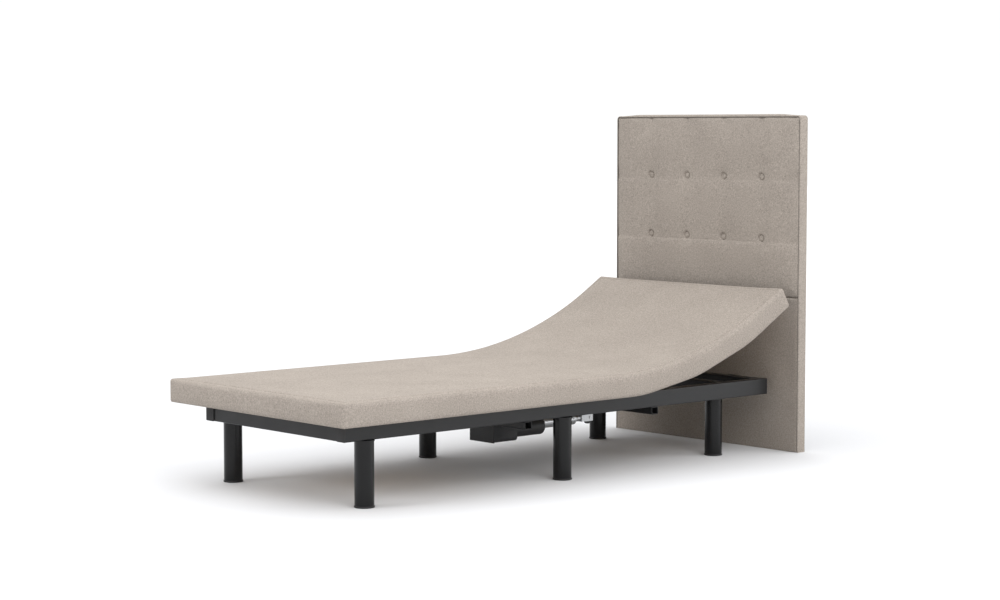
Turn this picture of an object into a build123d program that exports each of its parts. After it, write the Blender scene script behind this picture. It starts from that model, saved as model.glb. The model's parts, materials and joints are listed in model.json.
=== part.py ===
from build123d import *
import os
from math import atan, cos, degrees, radians, sin, tan

# Driving dimensions, in millimetres and degrees.
# X is the bed's width, +Y points to the headboard, +Z is up, and the floor is z = 0.

# Deck
DECK_LENGTH = 2000.0
DECK_WIDTH = 900.0
LUMBAR_LENGTH = 262.0
BACK_LENGTH = 262.0
HEAD_LENGTH = 232.0
SEAT_LENGTH = 256.0
THIGH_LENGTH = 368.0
REST_BEND = 10.0
MAX_BEND = 20.0
THIGH_MAX = 35.0
BOARD_THICKNESS = 16.0
BOARD_WIDTH = 860.0
PAD_THICKNESS = 75.0
PAD_EDGE_RADIUS = 12.0
PAD_END_TAPER = 3.0
FOLD_CLEARANCE = 1.0
DECK_CLEARANCE = 2.0
BOARD_END_MARGIN = 18.0

# Chassis
RAIL_TOP = 259.0
RAIL_HEIGHT = 55.0
RAIL_WIDTH = 40.0
RAIL_WALL = 2.0
RAIL_CORNER = 3.0
RAIL_CENTRE_X = 337.0
RAIL_TO_HEADBOARD = 60.0
CHASSIS_LENGTH = 1870.0
CROSSBAR_HEIGHT = 25.0
CROSSBAR_WIDTH = 30.0
CAP_FLANGE = 3.0
CAP_PLUG = 12.0
CAP_FIT = 0.2

# Legs, placed by their distance from the headboard's front
LEG_DIAMETER = 60.0
LEG_WALL = 2.0
LEG_TOP_PLATE = 6.0
LEG_FLANGE_DIAMETER = 64.0
LEG_FLANGE_HEIGHT = 3.0
GLIDE_DIAMETER = 63.0
GLIDE_HEIGHT = 6.0
GLIDE_EDGE = 2.0
GLIDE_PLUG = 8.0
GLIDE_FIT = 0.3
LEG_ROWS = {"head": (256.0, 286.5), "mid": (1027.0, 337.0), "foot": (1844.0, 337.0)}

# Headboard
HEADBOARD_WIDTH = 900.0
HEADBOARD_HEIGHT = 1177.0
HEADBOARD_THICKNESS = 40.0
HEADBOARD_GAP = 10.0
HEADBOARD_SEAM = 541.0
SEAM_GAP = 0.5
CORE_THICKNESS = 22.0
CORE_MARGIN = 18.0
BUTTON_COLUMNS = (-270.0, -90.0, 90.0, 270.0)
BUTTON_ROWS = (744.0, 961.0)
BUTTON_DIAMETER = 25.0
BUTTON_HEIGHT = 7.0
BUTTON_EDGE = 3.0
BUTTON_FIT = 0.2
BUTTON_SEAT_DEPTH = 10.0
DIMPLE_DEPTH = 9.0
DIMPLE_RADIUS = 70.0
CHANNEL_DEPTH = 2.2
CHANNEL_RADIUS = 70.0
BRACKET_X = 150.0
BRACKET_WIDTH = 50.0
BRACKET_HEIGHT = 43.0
BRACKET_RISE = 4.0
BRACKET_PLATE = 4.0
BRACKET_BOLT_ROWS = (219.0, 241.0)
BOLT_RADIUS = 4.0
BOLT_HEAD_RADIUS = 7.0
BOLT_HEAD_HEIGHT = 5.0
RAIL_BOLT_DEPTH = 15.0
BOLT_COVER = 4.0

# Hinges
PIVOT_RISE = 5.0
KNUCKLE_RADIUS = 5.0
KNUCKLE_GAP = 0.3
KNUCKLE_CLEARANCE = 1.0
PIN_RADIUS = 3.0
RUNNING_GAP = 0.06
LEAF_THICKNESS = 2.5
LEAF_LENGTH = 45.0
LEAF_WIDTH = 80.0
HINGE_X = 280.0
BOARD_GAP = 2.0
KNEE_GAP = 7.5
PAD_GAP = 6.5
POCKET_GAP = 0.5

# Seat brackets
SEAT_BRACKET_THICKNESS = 3.0
SEAT_BRACKET_REACH = 30.0
SEAT_BRACKET_DROP = 34.0
SEAT_BRACKET_WIDTH = 40.0
SEAT_BRACKET_INSET = 65.0

# Lifts
LIFT_PIVOT_Z = 230.0
BACK_PIVOT_Y = 310.0
BACK_ARM = 290.0
BACK_ARM_RATIO = 1.57
LEG_PIVOT_Y = -137.0
LEG_ARM = 210.0
LEG_ARM_RATIO = 1.3775
TUBE_RADIUS = 17.0
TUBE_WALL = 3.0
TUBE_END_GAP = 5.0
BOSS_WALL = 6.0
WELD_GAP = 0.02
ARM_X = 200.0
ARM_THICKNESS = 8.0
ARM_HEIGHT = 22.0
ROLLER_RADIUS = 20.0
ROLLER_WIDTH = 24.0
ROLLER_DROP = 0.5
ROLLER_SIDE_GAP = 1.0
ROLLER_EDGE = 2.0
AXLE_RADIUS = 5.0
AXLE_OVERHANG = 5.0
TRACK_THICKNESS = 4.0
TRACK_WIDTH = 30.0
TRACK_SIDE_LAP = 1.0
BACK_TRACK = (45.0, 150.0)
THIGH_TRACK = (225.0, 340.0)
BEARING_WIDTH = 20.0
BEARING_WALL = 8.0
BEARING_INSET = 2.0

# Foot links
LINK_OFFSET_Y = -150.0
LINK_OFFSET_Z = -45.0
LINK_X = 266.0
LINK_THICKNESS = 8.0
LINK_HEIGHT = 20.0
LINK_PIN_RADIUS = 6.0
LINK_PIN_OVERHANG = 3.0
LINK_PIN_COLLAR = 4.0
LINK_SIDE_GAP = 2.0
EAR_GAP = 4.0
EAR_THICKNESS = 6.0
EAR_LENGTH = 50.0
EAR_DROP = 12.0
EAR_COLLAR = 3.0
EAR_FLANGE = 34.0
EAR_FLANGE_THICKNESS = 4.0

# Actuators
ACTUATOR_X = 90.0
CRANK_LENGTH = 80.0
CRANK_THICKNESS = 10.0
CRANK_WIDTH = 26.0
CRANK_SIDE_GAP = 1.2
CRANK_SLOT_ROOM = (3.0, 2.0)
ROD_RADIUS = 11.0
ROD_GAP = 0.5
ROD_START = 60.0
OUTER_TUBE_RADIUS = 20.0
TUBE_FLOOR = 6.0
HOUSING_LENGTH = 100.0
HOUSING_HEIGHT = 72.0
HOUSING_INNER = 32.0
HOUSING_EDGE = 12.0
MOTOR_RADIUS = 29.0
MOTOR_LENGTH = 130.0
MOTOR_OFFSET = 52.0
MOTOR_WALL = 3.0
MOTOR_EDGE = 4.0
PLATE = 5.0
FORK_CHEEK = 8.0
FORK_SIDE_GAP = 1.5
FORK_HALF = 12.0
FORK_HEEL = 24.0
FORK_TAIL = 40.0
FORK_PIN_OVERHANG = 2.0
HANGER_WIDTH = 30.0
HANGER_THICKNESS = 12.0
BACK_MOTOR_END = -190.0
LEG_MOTOR_END = 345.0
BACK_TUBE_MOUTH = 240.0
LEG_TUBE_MOUTH = -50.0

# Control box
BOX_WIDTH = 72.0
BOX_LENGTH = 162.0
BOX_HEIGHT = 44.0
BOX_EDGE = 6.0
INLET_X = 15.0
INLET_WIDTH = 26.0
INLET_HEIGHT = 20.0
INLET_DEPTH = 18.0
INLET_RISE = 18.0
INLET_PIN_STEP = 6.0
INLET_PIN = (2.0, 14.0, 6.0)
LEAD_RADIUS = 3.0
LEAD_BEND = 14.0
LEAD_RISE = 20.0

# Spring ribs
RIB_X = 120.0
RIB_WIDTH = 30.0
RIB_THICKNESS = 4.0
RIB_GAP = 0.2
RIB_GROOVE = 6.5
RIB_SIDE_GAP = 1.0
RIB_SLIDE = 15.0
RIB_BEND_RADIUS = 300.0
RIB_TAIL = 95.0
RIB_TIP_INSET = 60.0

# How far a cut runs past the face that it opens
OVERCUT = 1.0

# Derived places
OVERALL_LENGTH = DECK_LENGTH + HEADBOARD_GAP + HEADBOARD_THICKNESS
FOOT_END = -OVERALL_LENGTH / 2
HEAD_END = FOOT_END + DECK_LENGTH
HEADBOARD_FRONT = HEAD_END + HEADBOARD_GAP
HEADBOARD_BACK = HEADBOARD_FRONT + HEADBOARD_THICKNESS
RAIL_BOTTOM = RAIL_TOP - RAIL_HEIGHT
RAIL_INNER = RAIL_CENTRE_X - RAIL_WIDTH / 2
RAIL_OUTER = RAIL_CENTRE_X + RAIL_WIDTH / 2
CHASSIS_HEAD = HEADBOARD_FRONT - RAIL_TO_HEADBOARD
CHASSIS_FOOT = CHASSIS_HEAD - CHASSIS_LENGTH
DECK_BOTTOM = RAIL_TOP + DECK_CLEARANCE
BOARD_TOP = DECK_BOTTOM + BOARD_THICKNESS
DECK_TOP = DECK_BOTTOM + PAD_THICKNESS
PIVOT_Z = BOARD_TOP + PIVOT_RISE
HEAD_HINGE = HEAD_END - HEAD_LENGTH
BACK_HINGE = HEAD_HINGE - BACK_LENGTH
LUMBAR_HINGE = BACK_HINGE - LUMBAR_LENGTH
THIGH_HINGE = LUMBAR_HINGE - SEAT_LENGTH
KNEE_HINGE = THIGH_HINGE - THIGH_LENGTH
BACK_HINGES = (LUMBAR_HINGE, BACK_HINGE, HEAD_HINGE)
TRACK_BOTTOM = DECK_BOTTOM - TRACK_THICKNESS
ROLLER_Z = TRACK_BOTTOM - ROLLER_RADIUS - ROLLER_DROP
ROD_Z = LIFT_PIVOT_Z - CRANK_LENGTH
LEG_SWING = LEG_ARM_RATIO * THIGH_MAX
MID_Y = HEADBOARD_FRONT - LEG_ROWS["mid"][0]
HEAD_LEG_Y = HEADBOARD_FRONT - LEG_ROWS["head"][0]
CROSSBARS = (
    BACK_MOTOR_END - PLATE - CROSSBAR_WIDTH / 2,
    LEG_MOTOR_END + PLATE + CROSSBAR_WIDTH / 2,
)

parts = {}


def block(x, y, z):
    """A box from three (low, high) pairs."""
    size = [high - low for low, high in (x, y, z)]
    middle = [(high + low) / 2 for low, high in (x, y, z)]
    return Pos(*middle) * Box(*size)


def along_x(radius, x, y, z):
    """A round bar along X, between the pair x, at (y, z)."""
    return Pos((x[0] + x[1]) / 2, y, z) * Rot(0, 90, 0) * Cylinder(radius, x[1] - x[0])


def along_y(radius, x, y, z):
    """A round bar along Y, between the pair y, at (x, z)."""
    return Pos(x, (y[0] + y[1]) / 2, z) * Rot(90, 0, 0) * Cylinder(radius, y[1] - y[0])


def both_sides(shape):
    return [shape, mirror(shape, Plane.YZ)]


def turned(shape, y, z, angle):
    """The shape turned about a line along X through (y, z)."""
    return shape.rotate(Axis((0, y, z), (1, 0, 0)), angle)


def raised(shape, level):
    """The shape carried by the first `level` back hinges from flat to their rest bend."""
    for hinge in reversed(BACK_HINGES[:level]):
        shape = turned(shape, hinge, PIVOT_Z, REST_BEND)
    return shape


def side_outline(points, x):
    """A closed outline in the YZ plane, drawn out along X between the pair x."""
    face = make_face(Polyline(*[(x[0], y, z) for y, z in points], close=True))
    return extrude(face, amount=x[1] - x[0], dir=(1, 0, 0))


def keep(name, *solids):
    parts[name] = solids[0] if len(solids) == 1 else Compound(children=list(solids))


# Chassis


def hollow_bar(x, y, z, axis):
    """A rectangular steel tube with rounded corners, open at both ends along the axis."""
    outer = [x, y, z]
    inner = [(low + RAIL_WALL, high - RAIL_WALL) for low, high in outer]
    inner["XYZ".index(axis)] = outer["XYZ".index(axis)]
    bar = block(*outer)
    bar = fillet(bar.edges().filter_by(Axis.X if axis == "X" else Axis.Y), RAIL_CORNER)
    return bar - block(*inner)


def crossmember(y):
    half = RAIL_WIDTH / 2
    return hollow_bar((-RAIL_INNER, RAIL_INNER), (y - half, y + half), (RAIL_BOTTOM, RAIL_TOP), "X")


def end_cap(x_side, y, outward):
    """A plug cap in the end of a side rail, pointing outward along Y."""
    x = sorted((x_side * RAIL_INNER, x_side * RAIL_OUTER))
    flange = block(x, sorted((y, y + outward * CAP_FLANGE)), (RAIL_BOTTOM, RAIL_TOP))
    flange = fillet(flange.edges().filter_by(Axis.Y), RAIL_CORNER)
    inset = RAIL_WALL + CAP_FIT
    plug = block(
        (x[0] + inset, x[1] - inset),
        sorted((y, y - outward * CAP_PLUG)),
        (RAIL_BOTTOM + inset, RAIL_TOP - inset),
    )
    return flange + plug


def chassis():
    rail_y = (CHASSIS_FOOT, CHASSIS_HEAD)
    right = hollow_bar((RAIL_INNER, RAIL_OUTER), rail_y, (RAIL_BOTTOM, RAIL_TOP), "Y")
    keep("side_rail_right", right)
    keep("side_rail_left", mirror(right, Plane.YZ))
    half = RAIL_WIDTH / 2
    head_rail = crossmember(CHASSIS_HEAD - half)
    for x in (-BRACKET_X, BRACKET_X):
        for z in BRACKET_BOLT_ROWS:
            head_rail -= along_y(BOLT_RADIUS, x, (CHASSIS_HEAD - half, CHASSIS_HEAD + OVERCUT), z)
    keep("head_rail", head_rail)
    keep("foot_rail", crossmember(CHASSIS_FOOT + half))
    keep("head_crossmember", crossmember(HEAD_LEG_Y))
    keep("mid_crossmember", crossmember(MID_Y))
    bars = []
    for y in CROSSBARS:
        bar_y = (y - CROSSBAR_WIDTH / 2, y + CROSSBAR_WIDTH / 2)
        bar_z = (RAIL_BOTTOM - CROSSBAR_HEIGHT, RAIL_BOTTOM)
        bars.append(hollow_bar((-RAIL_OUTER, RAIL_OUTER), bar_y, bar_z, "X"))
    keep("motor_crossbars", *bars)
    caps = [end_cap(side, CHASSIS_HEAD, 1) for side in (-1, 1)]
    caps += [end_cap(side, CHASSIS_FOOT, -1) for side in (-1, 1)]
    keep("rail_end_caps", *caps)


def legs():
    glides = []
    radius = LEG_DIAMETER / 2
    up = (Align.CENTER, Align.CENTER, Align.MIN)
    for row, (from_headboard, x) in LEG_ROWS.items():
        y = HEADBOARD_FRONT - from_headboard
        for side, name in ((-1, "left"), (1, "right")):
            here = Pos(side * x, y, 0)
            tube = Pos(0, 0, GLIDE_HEIGHT) * Cylinder(radius, RAIL_BOTTOM - GLIDE_HEIGHT, align=up)
            tube -= Cylinder(radius - LEG_WALL, RAIL_BOTTOM - LEG_TOP_PLATE, align=up)
            flange = Cylinder(LEG_FLANGE_DIAMETER / 2, LEG_FLANGE_HEIGHT, align=up)
            tube += Pos(0, 0, RAIL_BOTTOM - LEG_FLANGE_HEIGHT) * flange
            keep(f"leg_{row}_{name}", here * tube)
            disc = Cylinder(GLIDE_DIAMETER / 2, GLIDE_HEIGHT, align=up)
            disc = fillet(disc.edges().filter_by(GeomType.CIRCLE), GLIDE_EDGE)
            plug = Cylinder(radius - LEG_WALL - GLIDE_FIT, GLIDE_HEIGHT + GLIDE_PLUG, align=up)
            glides.append(here * (disc + plug))
    keep("leg_glides", *glides)


# Headboard


def headboard():
    half = HEADBOARD_WIDTH / 2
    y = (HEADBOARD_FRONT, HEADBOARD_BACK)
    core_y = (HEADBOARD_BACK - CORE_THICKNESS, HEADBOARD_BACK)
    core_x = (-half + CORE_MARGIN, half - CORE_MARGIN)
    core = block(core_x, core_y, (CORE_MARGIN, HEADBOARD_HEIGHT - CORE_MARGIN))
    upper = block((-half, half), y, (HEADBOARD_SEAM, HEADBOARD_HEIGHT))
    front_edges = upper.edges().group_by(Axis.Y)[0]
    upper = fillet(front_edges, PAD_EDGE_RADIUS)
    upper -= core
    lower = block((-half, half), y, (0, HEADBOARD_SEAM - SEAM_GAP))
    lower = fillet(lower.edges().filter_by(Axis.Z).group_by(Axis.Y)[0], PAD_EDGE_RADIUS)
    lower -= core

    # Shallow channels pulled between the buttons, then a dimple and a seat for each button.
    channel_y = HEADBOARD_FRONT + CHANNEL_DEPTH - CHANNEL_RADIUS
    middle_z = (HEADBOARD_SEAM + HEADBOARD_HEIGHT) / 2
    for x in BUTTON_COLUMNS:
        upper -= Pos(x, channel_y, middle_z) * Cylinder(CHANNEL_RADIUS, HEADBOARD_HEIGHT)
    for z in BUTTON_ROWS:
        upper -= along_x(CHANNEL_RADIUS, (-half - OVERCUT, half + OVERCUT), channel_y, z)
    buttons = []
    seat_y = HEADBOARD_FRONT + BUTTON_SEAT_DEPTH
    dimple_y = HEADBOARD_FRONT + DIMPLE_DEPTH - DIMPLE_RADIUS
    for x in BUTTON_COLUMNS:
        for z in BUTTON_ROWS:
            upper -= Pos(x, dimple_y, z) * Sphere(DIMPLE_RADIUS)
            seat_radius = BUTTON_DIAMETER / 2 + BUTTON_FIT
            upper -= along_y(seat_radius, x, (HEADBOARD_FRONT - OVERCUT, seat_y), z)
            button = along_y(BUTTON_DIAMETER / 2, x, (seat_y - BUTTON_HEIGHT, seat_y), z)
            rim = button.edges().filter_by(GeomType.CIRCLE).group_by(Axis.Y)[0]
            buttons.append(fillet(rim, BUTTON_EDGE))

    brackets = []
    bolts = []
    bracket_low = RAIL_BOTTOM + BRACKET_RISE
    bracket_z = (bracket_low, bracket_low + BRACKET_HEIGHT)
    shelf_z = bracket_low + BRACKET_HEIGHT / 2
    plate_front = CHASSIS_HEAD + BRACKET_PLATE
    plate_back = HEADBOARD_FRONT - BRACKET_PLATE
    through = (CHASSIS_HEAD - RAIL_BOLT_DEPTH, HEADBOARD_BACK - BOLT_COVER)
    for x in (-BRACKET_X, BRACKET_X):
        bx = (x - BRACKET_WIDTH / 2, x + BRACKET_WIDTH / 2)
        rail_plate = block(bx, (CHASSIS_HEAD, plate_front), bracket_z)
        board_plate = block(bx, (plate_back, HEADBOARD_FRONT), bracket_z)
        shelf = block(
            bx,
            (CHASSIS_HEAD, HEADBOARD_FRONT),
            (shelf_z - BRACKET_PLATE / 2, shelf_z + BRACKET_PLATE / 2),
        )
        bracket = rail_plate + board_plate + shelf
        for z in BRACKET_BOLT_ROWS:
            hole = along_y(BOLT_RADIUS, x, through, z)
            bracket -= hole
            lower -= hole
            core -= hole
            rail_bolt = along_y(BOLT_RADIUS, x, (through[0], plate_front), z)
            rail_bolt += along_y(BOLT_HEAD_RADIUS, x, (plate_front, plate_front + BOLT_HEAD_HEIGHT), z)
            board_bolt = along_y(BOLT_RADIUS, x, (plate_back, through[1]), z)
            board_bolt += along_y(BOLT_HEAD_RADIUS, x, (plate_back - BOLT_HEAD_HEIGHT, plate_back), z)
            bolts += [rail_bolt, board_bolt]
        brackets.append(bracket)
    keep("headboard_core", core)
    keep("headboard_upper_pad", upper)
    keep("headboard_lower_pad", lower)
    keep("headboard_buttons", *buttons)
    keep("headboard_brackets", *brackets)
    keep("headboard_bolts", *bolts)


# Hinges


def hinge_leaf(x, y, side, outer):
    """One leaf on the board on the given side of a hinge line, with its outer or inner knuckles."""
    half = LEAF_WIDTH / 2
    inner_half = LEAF_WIDTH / 6
    gap = KNUCKLE_GAP
    clear = KNUCKLE_RADIUS + KNUCKLE_CLEARANCE
    z = (BOARD_TOP, BOARD_TOP + LEAF_THICKNESS)
    leaf = block((x - half, x + half), sorted((y + side * clear, y + side * LEAF_LENGTH)), z)
    if outer:
        spans = [(x - half, x - inner_half - gap), (x + inner_half + gap, x + half)]
    else:
        spans = [(x - inner_half, x + inner_half)]
    for span in spans:
        leaf += block(span, sorted((y, y + side * clear)), z)
        leaf += along_x(KNUCKLE_RADIUS, span, y, PIVOT_Z)
    bore = PIN_RADIUS if outer else PIN_RADIUS + RUNNING_GAP
    return leaf - along_x(bore, (x - half - OVERCUT, x + half + OVERCUT), y, PIVOT_Z)


def hinge_half(y, side, outer):
    """The left and right leaves at one hinge line, with the pins held by the outer leaves."""
    solids = [hinge_leaf(x, y, side, outer) for x in (-HINGE_X, HINGE_X)]
    if outer:
        half = LEAF_WIDTH / 2
        solids += [along_x(PIN_RADIUS, (x - half, x + half), y, PIVOT_Z) for x in (-HINGE_X, HINGE_X)]
    return solids


def leaf_pockets(y, side):
    """Room in a pad for the leaves on its board."""
    half = LEAF_WIDTH / 2 + POCKET_GAP
    z = (BOARD_TOP - OVERCUT, BOARD_TOP + LEAF_THICKNESS + POCKET_GAP)
    pocket_y = sorted((y, y + side * (LEAF_LENGTH + POCKET_GAP)))
    return [block((x - half, x + half), pocket_y, z) for x in (-HINGE_X, HINGE_X)]


# Deck panels


def deck_board(foot, head):
    half = BOARD_WIDTH / 2
    return block((-half, half), (foot, head), (DECK_BOTTOM, BOARD_TOP))


def rib_grooves():
    """The slots under the back boards, in the flat pose, that the spring ribs slide in."""
    half = RIB_WIDTH / 2 + RIB_SIDE_GAP
    y = (LUMBAR_HINGE - RIB_TAIL - RIB_SIDE_GAP, HEAD_END - RIB_TIP_INSET + RIB_SLIDE)
    z = (DECK_BOTTOM - OVERCUT, DECK_BOTTOM + RIB_GROOVE)
    return both_sides(block((RIB_X - half, RIB_X + half), y, z))


def deck_pad(foot, head, board, pockets):
    """A pad over its board. foot and head are (y at the pivot's height and below, y at the top)."""
    outline = [
        (foot[0], DECK_BOTTOM),
        (head[0], DECK_BOTTOM),
        (head[0], PIVOT_Z),
        (head[1], DECK_TOP),
        (foot[1], DECK_TOP),
        (foot[0], PIVOT_Z),
    ]
    half = DECK_WIDTH / 2
    pad = side_outline(outline, (-half, half))
    top_sides = pad.edges().filter_by(Axis.Y).group_by(Axis.Z)[-1]
    pad = fillet(top_sides, PAD_EDGE_RADIUS)
    pad -= board
    for pocket in pockets:
        pad -= pocket
    return pad


def fold_setback(angle):
    """How far a pad's top edge stands back from its hinge line, to clear a fold of that angle."""
    return (DECK_TOP - PIVOT_Z) * tan(radians(angle / 2)) + FOLD_CLEARANCE


def deck():
    back_top = fold_setback(MAX_BEND)
    thigh_top = fold_setback(THIGH_MAX)

    # name, level, foot line, head line, foot gaps (board, pad, pad top), head gaps
    folding = (BOARD_GAP, PAD_GAP, back_top)
    thigh_fold = (BOARD_GAP, PAD_GAP, thigh_top)
    knee = (KNEE_GAP, KNEE_GAP, KNEE_GAP)
    end = (BOARD_END_MARGIN, 0.0, PAD_END_TAPER)
    panels = (
        ("seat", 0, THIGH_HINGE, LUMBAR_HINGE, thigh_fold, folding),
        ("lumbar", 1, LUMBAR_HINGE, BACK_HINGE, folding, folding),
        ("back", 2, BACK_HINGE, HEAD_HINGE, folding, folding),
        ("head", 3, HEAD_HINGE, HEAD_END, folding, end),
        ("thigh", 0, KNEE_HINGE, THIGH_HINGE, knee, thigh_fold),
        ("foot", 0, FOOT_END, KNEE_HINGE, end, knee),
    )
    for name, level, foot, head, foot_gap, head_gap in panels:
        board = deck_board(foot + foot_gap[0], head - head_gap[0])
        pockets = leaf_pockets(foot, 1) if foot != FOOT_END else []
        pockets += leaf_pockets(head, -1) if head != HEAD_END else []
        pad = deck_pad(
            (foot + foot_gap[1], foot + foot_gap[2]),
            (head - head_gap[1], head - head_gap[2]),
            board,
            pockets,
        )
        if head > LUMBAR_HINGE - RIB_TAIL:
            for groove in rib_grooves():
                board -= groove
        keep(f"{name}_board", raised(board, level))
        keep(f"{name}_pad", raised(pad, level))

    # The outer leaves and the pins are on the panel nearer the seat.
    leaves = {
        "seat": (0, hinge_half(LUMBAR_HINGE, -1, True) + hinge_half(THIGH_HINGE, 1, True)),
        "lumbar": (1, hinge_half(LUMBAR_HINGE, 1, False) + hinge_half(BACK_HINGE, -1, True)),
        "back": (2, hinge_half(BACK_HINGE, 1, False) + hinge_half(HEAD_HINGE, -1, True)),
        "head": (3, hinge_half(HEAD_HINGE, 1, False)),
        "thigh": (0, hinge_half(THIGH_HINGE, -1, False) + hinge_half(KNEE_HINGE, 1, True)),
        "foot": (0, hinge_half(KNEE_HINGE, -1, False)),
    }
    for name, (level, solids) in leaves.items():
        keep(f"{name}_hinges", *[raised(solid, level) for solid in solids])


def seat_brackets():
    """Angle brackets that carry the fixed seat board on the side rails."""
    solids = []
    thick = SEAT_BRACKET_THICKNESS
    inner = RAIL_INNER - SEAT_BRACKET_REACH
    half = SEAT_BRACKET_WIDTH / 2
    for y in (THIGH_HINGE + SEAT_BRACKET_INSET, LUMBAR_HINGE - SEAT_BRACKET_INSET):
        across = (y - half, y + half)
        shelf = block((inner, RAIL_INNER), across, (DECK_BOTTOM - thick, DECK_BOTTOM))
        web_z = (DECK_BOTTOM - SEAT_BRACKET_DROP, DECK_BOTTOM)
        web = block((RAIL_INNER - thick, RAIL_INNER), across, web_z)
        solids += both_sides(shelf + web)
    keep("seat_brackets", *solids)


def flex_ribs():
    """Spring strips in the back boards' grooves, which share the bend evenly among the hinges."""
    depth = PIVOT_Z - DECK_BOTTOM - RIB_GAP - RIB_THICKNESS / 2
    points = [(LUMBAR_HINGE - RIB_TAIL, PIVOT_Z - depth)]
    y = LUMBAR_HINGE
    z = PIVOT_Z
    lengths = (LUMBAR_LENGTH, BACK_LENGTH, HEAD_LENGTH - RIB_TIP_INSET)
    corner = depth / cos(radians(REST_BEND / 2))
    for step, length in enumerate(lengths):
        middle = radians(REST_BEND * (step + 0.5))
        points.append((y + corner * sin(middle), z - corner * cos(middle)))
        slope = radians(REST_BEND * (step + 1))
        y += length * cos(slope)
        z += length * sin(slope)
    points.append((y + depth * sin(slope), z - depth * cos(slope)))
    path = FilletPolyline(*[(RIB_X, y, z) for y, z in points], radius=RIB_BEND_RADIUS)
    section = Plane(origin=path @ 0, x_dir=(1, 0, 0), z_dir=path % 0) * Rectangle(RIB_WIDTH, RIB_THICKNESS)
    keep("flex_ribs", *both_sides(sweep(section, path=path)))


# Lifts


def rounded_bar(x, start, end, height, holes):
    """A flat bar with round ends in the YZ plane, from start to end, with (y, z, radius) holes."""
    middle = ((start[0] + end[0]) / 2, (start[1] + end[1]) / 2)
    length = ((end[0] - start[0]) ** 2 + (end[1] - start[1]) ** 2) ** 0.5
    bar = Box(x[1] - x[0], length, height)
    angle = degrees(atan((end[1] - start[1]) / (end[0] - start[0])))
    bar = Pos((x[0] + x[1]) / 2, *middle) * Rot(angle, 0, 0) * bar
    for y, z in (start, end):
        bar += along_x(height / 2, x, y, z)
    for y, z, radius in holes:
        bar -= along_x(radius, (x[0] - OVERCUT, x[1] + OVERCUT), y, z)
    return bar


def lift_arm(pivot_y, direction, length):
    """A lift arm in its flat pose, with its boss on the torque tube and its roller's stub axle."""
    rise = ROLLER_Z - LIFT_PIVOT_Z
    reach = (length**2 - rise**2) ** 0.5
    tip_y = pivot_y + direction * reach
    x = (ARM_X - ARM_THICKNESS / 2, ARM_X + ARM_THICKNESS / 2)
    arm = rounded_bar(x, (pivot_y, LIFT_PIVOT_Z), (tip_y, ROLLER_Z), ARM_HEIGHT, [])
    arm += along_x(TUBE_RADIUS + BOSS_WALL, x, pivot_y, LIFT_PIVOT_Z)
    through = (x[0] - OVERCUT, x[1] + OVERCUT)
    arm -= along_x(TUBE_RADIUS + WELD_GAP, through, pivot_y, LIFT_PIVOT_Z)
    arm += along_x(AXLE_RADIUS, (x[0], x[1] + ROLLER_WIDTH + AXLE_OVERHANG), tip_y, ROLLER_Z)
    return arm, tip_y


def lift_roller(tip_y):
    inner = ARM_X + ARM_THICKNESS / 2 + ROLLER_SIDE_GAP
    x = (inner, inner + ROLLER_WIDTH)
    roller = along_x(ROLLER_RADIUS, x, tip_y, ROLLER_Z)
    roller = fillet(roller.edges().filter_by(GeomType.CIRCLE), ROLLER_EDGE)
    through = (x[0] - OVERCUT, x[1] + OVERCUT)
    return roller - along_x(AXLE_RADIUS + RUNNING_GAP, through, tip_y, ROLLER_Z)


def crank(x_centre, pivot_y):
    """A crank plate hanging straight down, slotted for the push rod's cross pin."""
    x = (x_centre - CRANK_THICKNESS / 2, x_centre + CRANK_THICKNESS / 2)
    half = CRANK_WIDTH / 2
    slot_top = LIFT_PIVOT_Z - CRANK_LENGTH + CRANK_SLOT_ROOM[0]
    longest = CRANK_LENGTH / cos(radians(LEG_SWING / 2))
    slot_bottom = LIFT_PIVOT_Z - longest - CRANK_SLOT_ROOM[1]
    plate = block(x, (pivot_y - half, pivot_y + half), (slot_bottom, LIFT_PIVOT_Z))
    plate += along_x(half, x, pivot_y, slot_bottom)
    plate += along_x(TUBE_RADIUS + BOSS_WALL, x, pivot_y, LIFT_PIVOT_Z)
    through = (x[0] - OVERCUT, x[1] + OVERCUT)
    plate -= along_x(TUBE_RADIUS + WELD_GAP, through, pivot_y, LIFT_PIVOT_Z)
    slot_half = AXLE_RADIUS + CRANK_SIDE_GAP
    plate -= block(through, (pivot_y - slot_half, pivot_y + slot_half), (slot_bottom, slot_top))
    for z in (slot_top, slot_bottom):
        plate -= along_x(slot_half, through, pivot_y, z)
    return plate


def torque_tube(pivot_y):
    reach = RAIL_INNER - TUBE_END_GAP
    through = (-reach - OVERCUT, reach + OVERCUT)
    tube = along_x(TUBE_RADIUS, (-reach, reach), pivot_y, LIFT_PIVOT_Z)
    return tube - along_x(TUBE_RADIUS - TUBE_WALL, through, pivot_y, LIFT_PIVOT_Z)


def bearing(pivot_y):
    half = TUBE_RADIUS + BEARING_WALL
    x = (RAIL_INNER - BEARING_WIDTH, RAIL_INNER)
    z = (RAIL_BOTTOM + BEARING_INSET, RAIL_TOP - BEARING_INSET)
    shell = block(x, (pivot_y - half, pivot_y + half), z)
    through = (x[0] - OVERCUT, x[1] + OVERCUT)
    return shell - along_x(TUBE_RADIUS + RUNNING_GAP, through, pivot_y, LIFT_PIVOT_Z)


def track(foot, head):
    inner = ARM_X + ARM_THICKNESS / 2 - TRACK_SIDE_LAP
    return both_sides(block((inner, inner + TRACK_WIDTH), (foot, head), (TRACK_BOTTOM, DECK_BOTTOM)))


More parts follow.
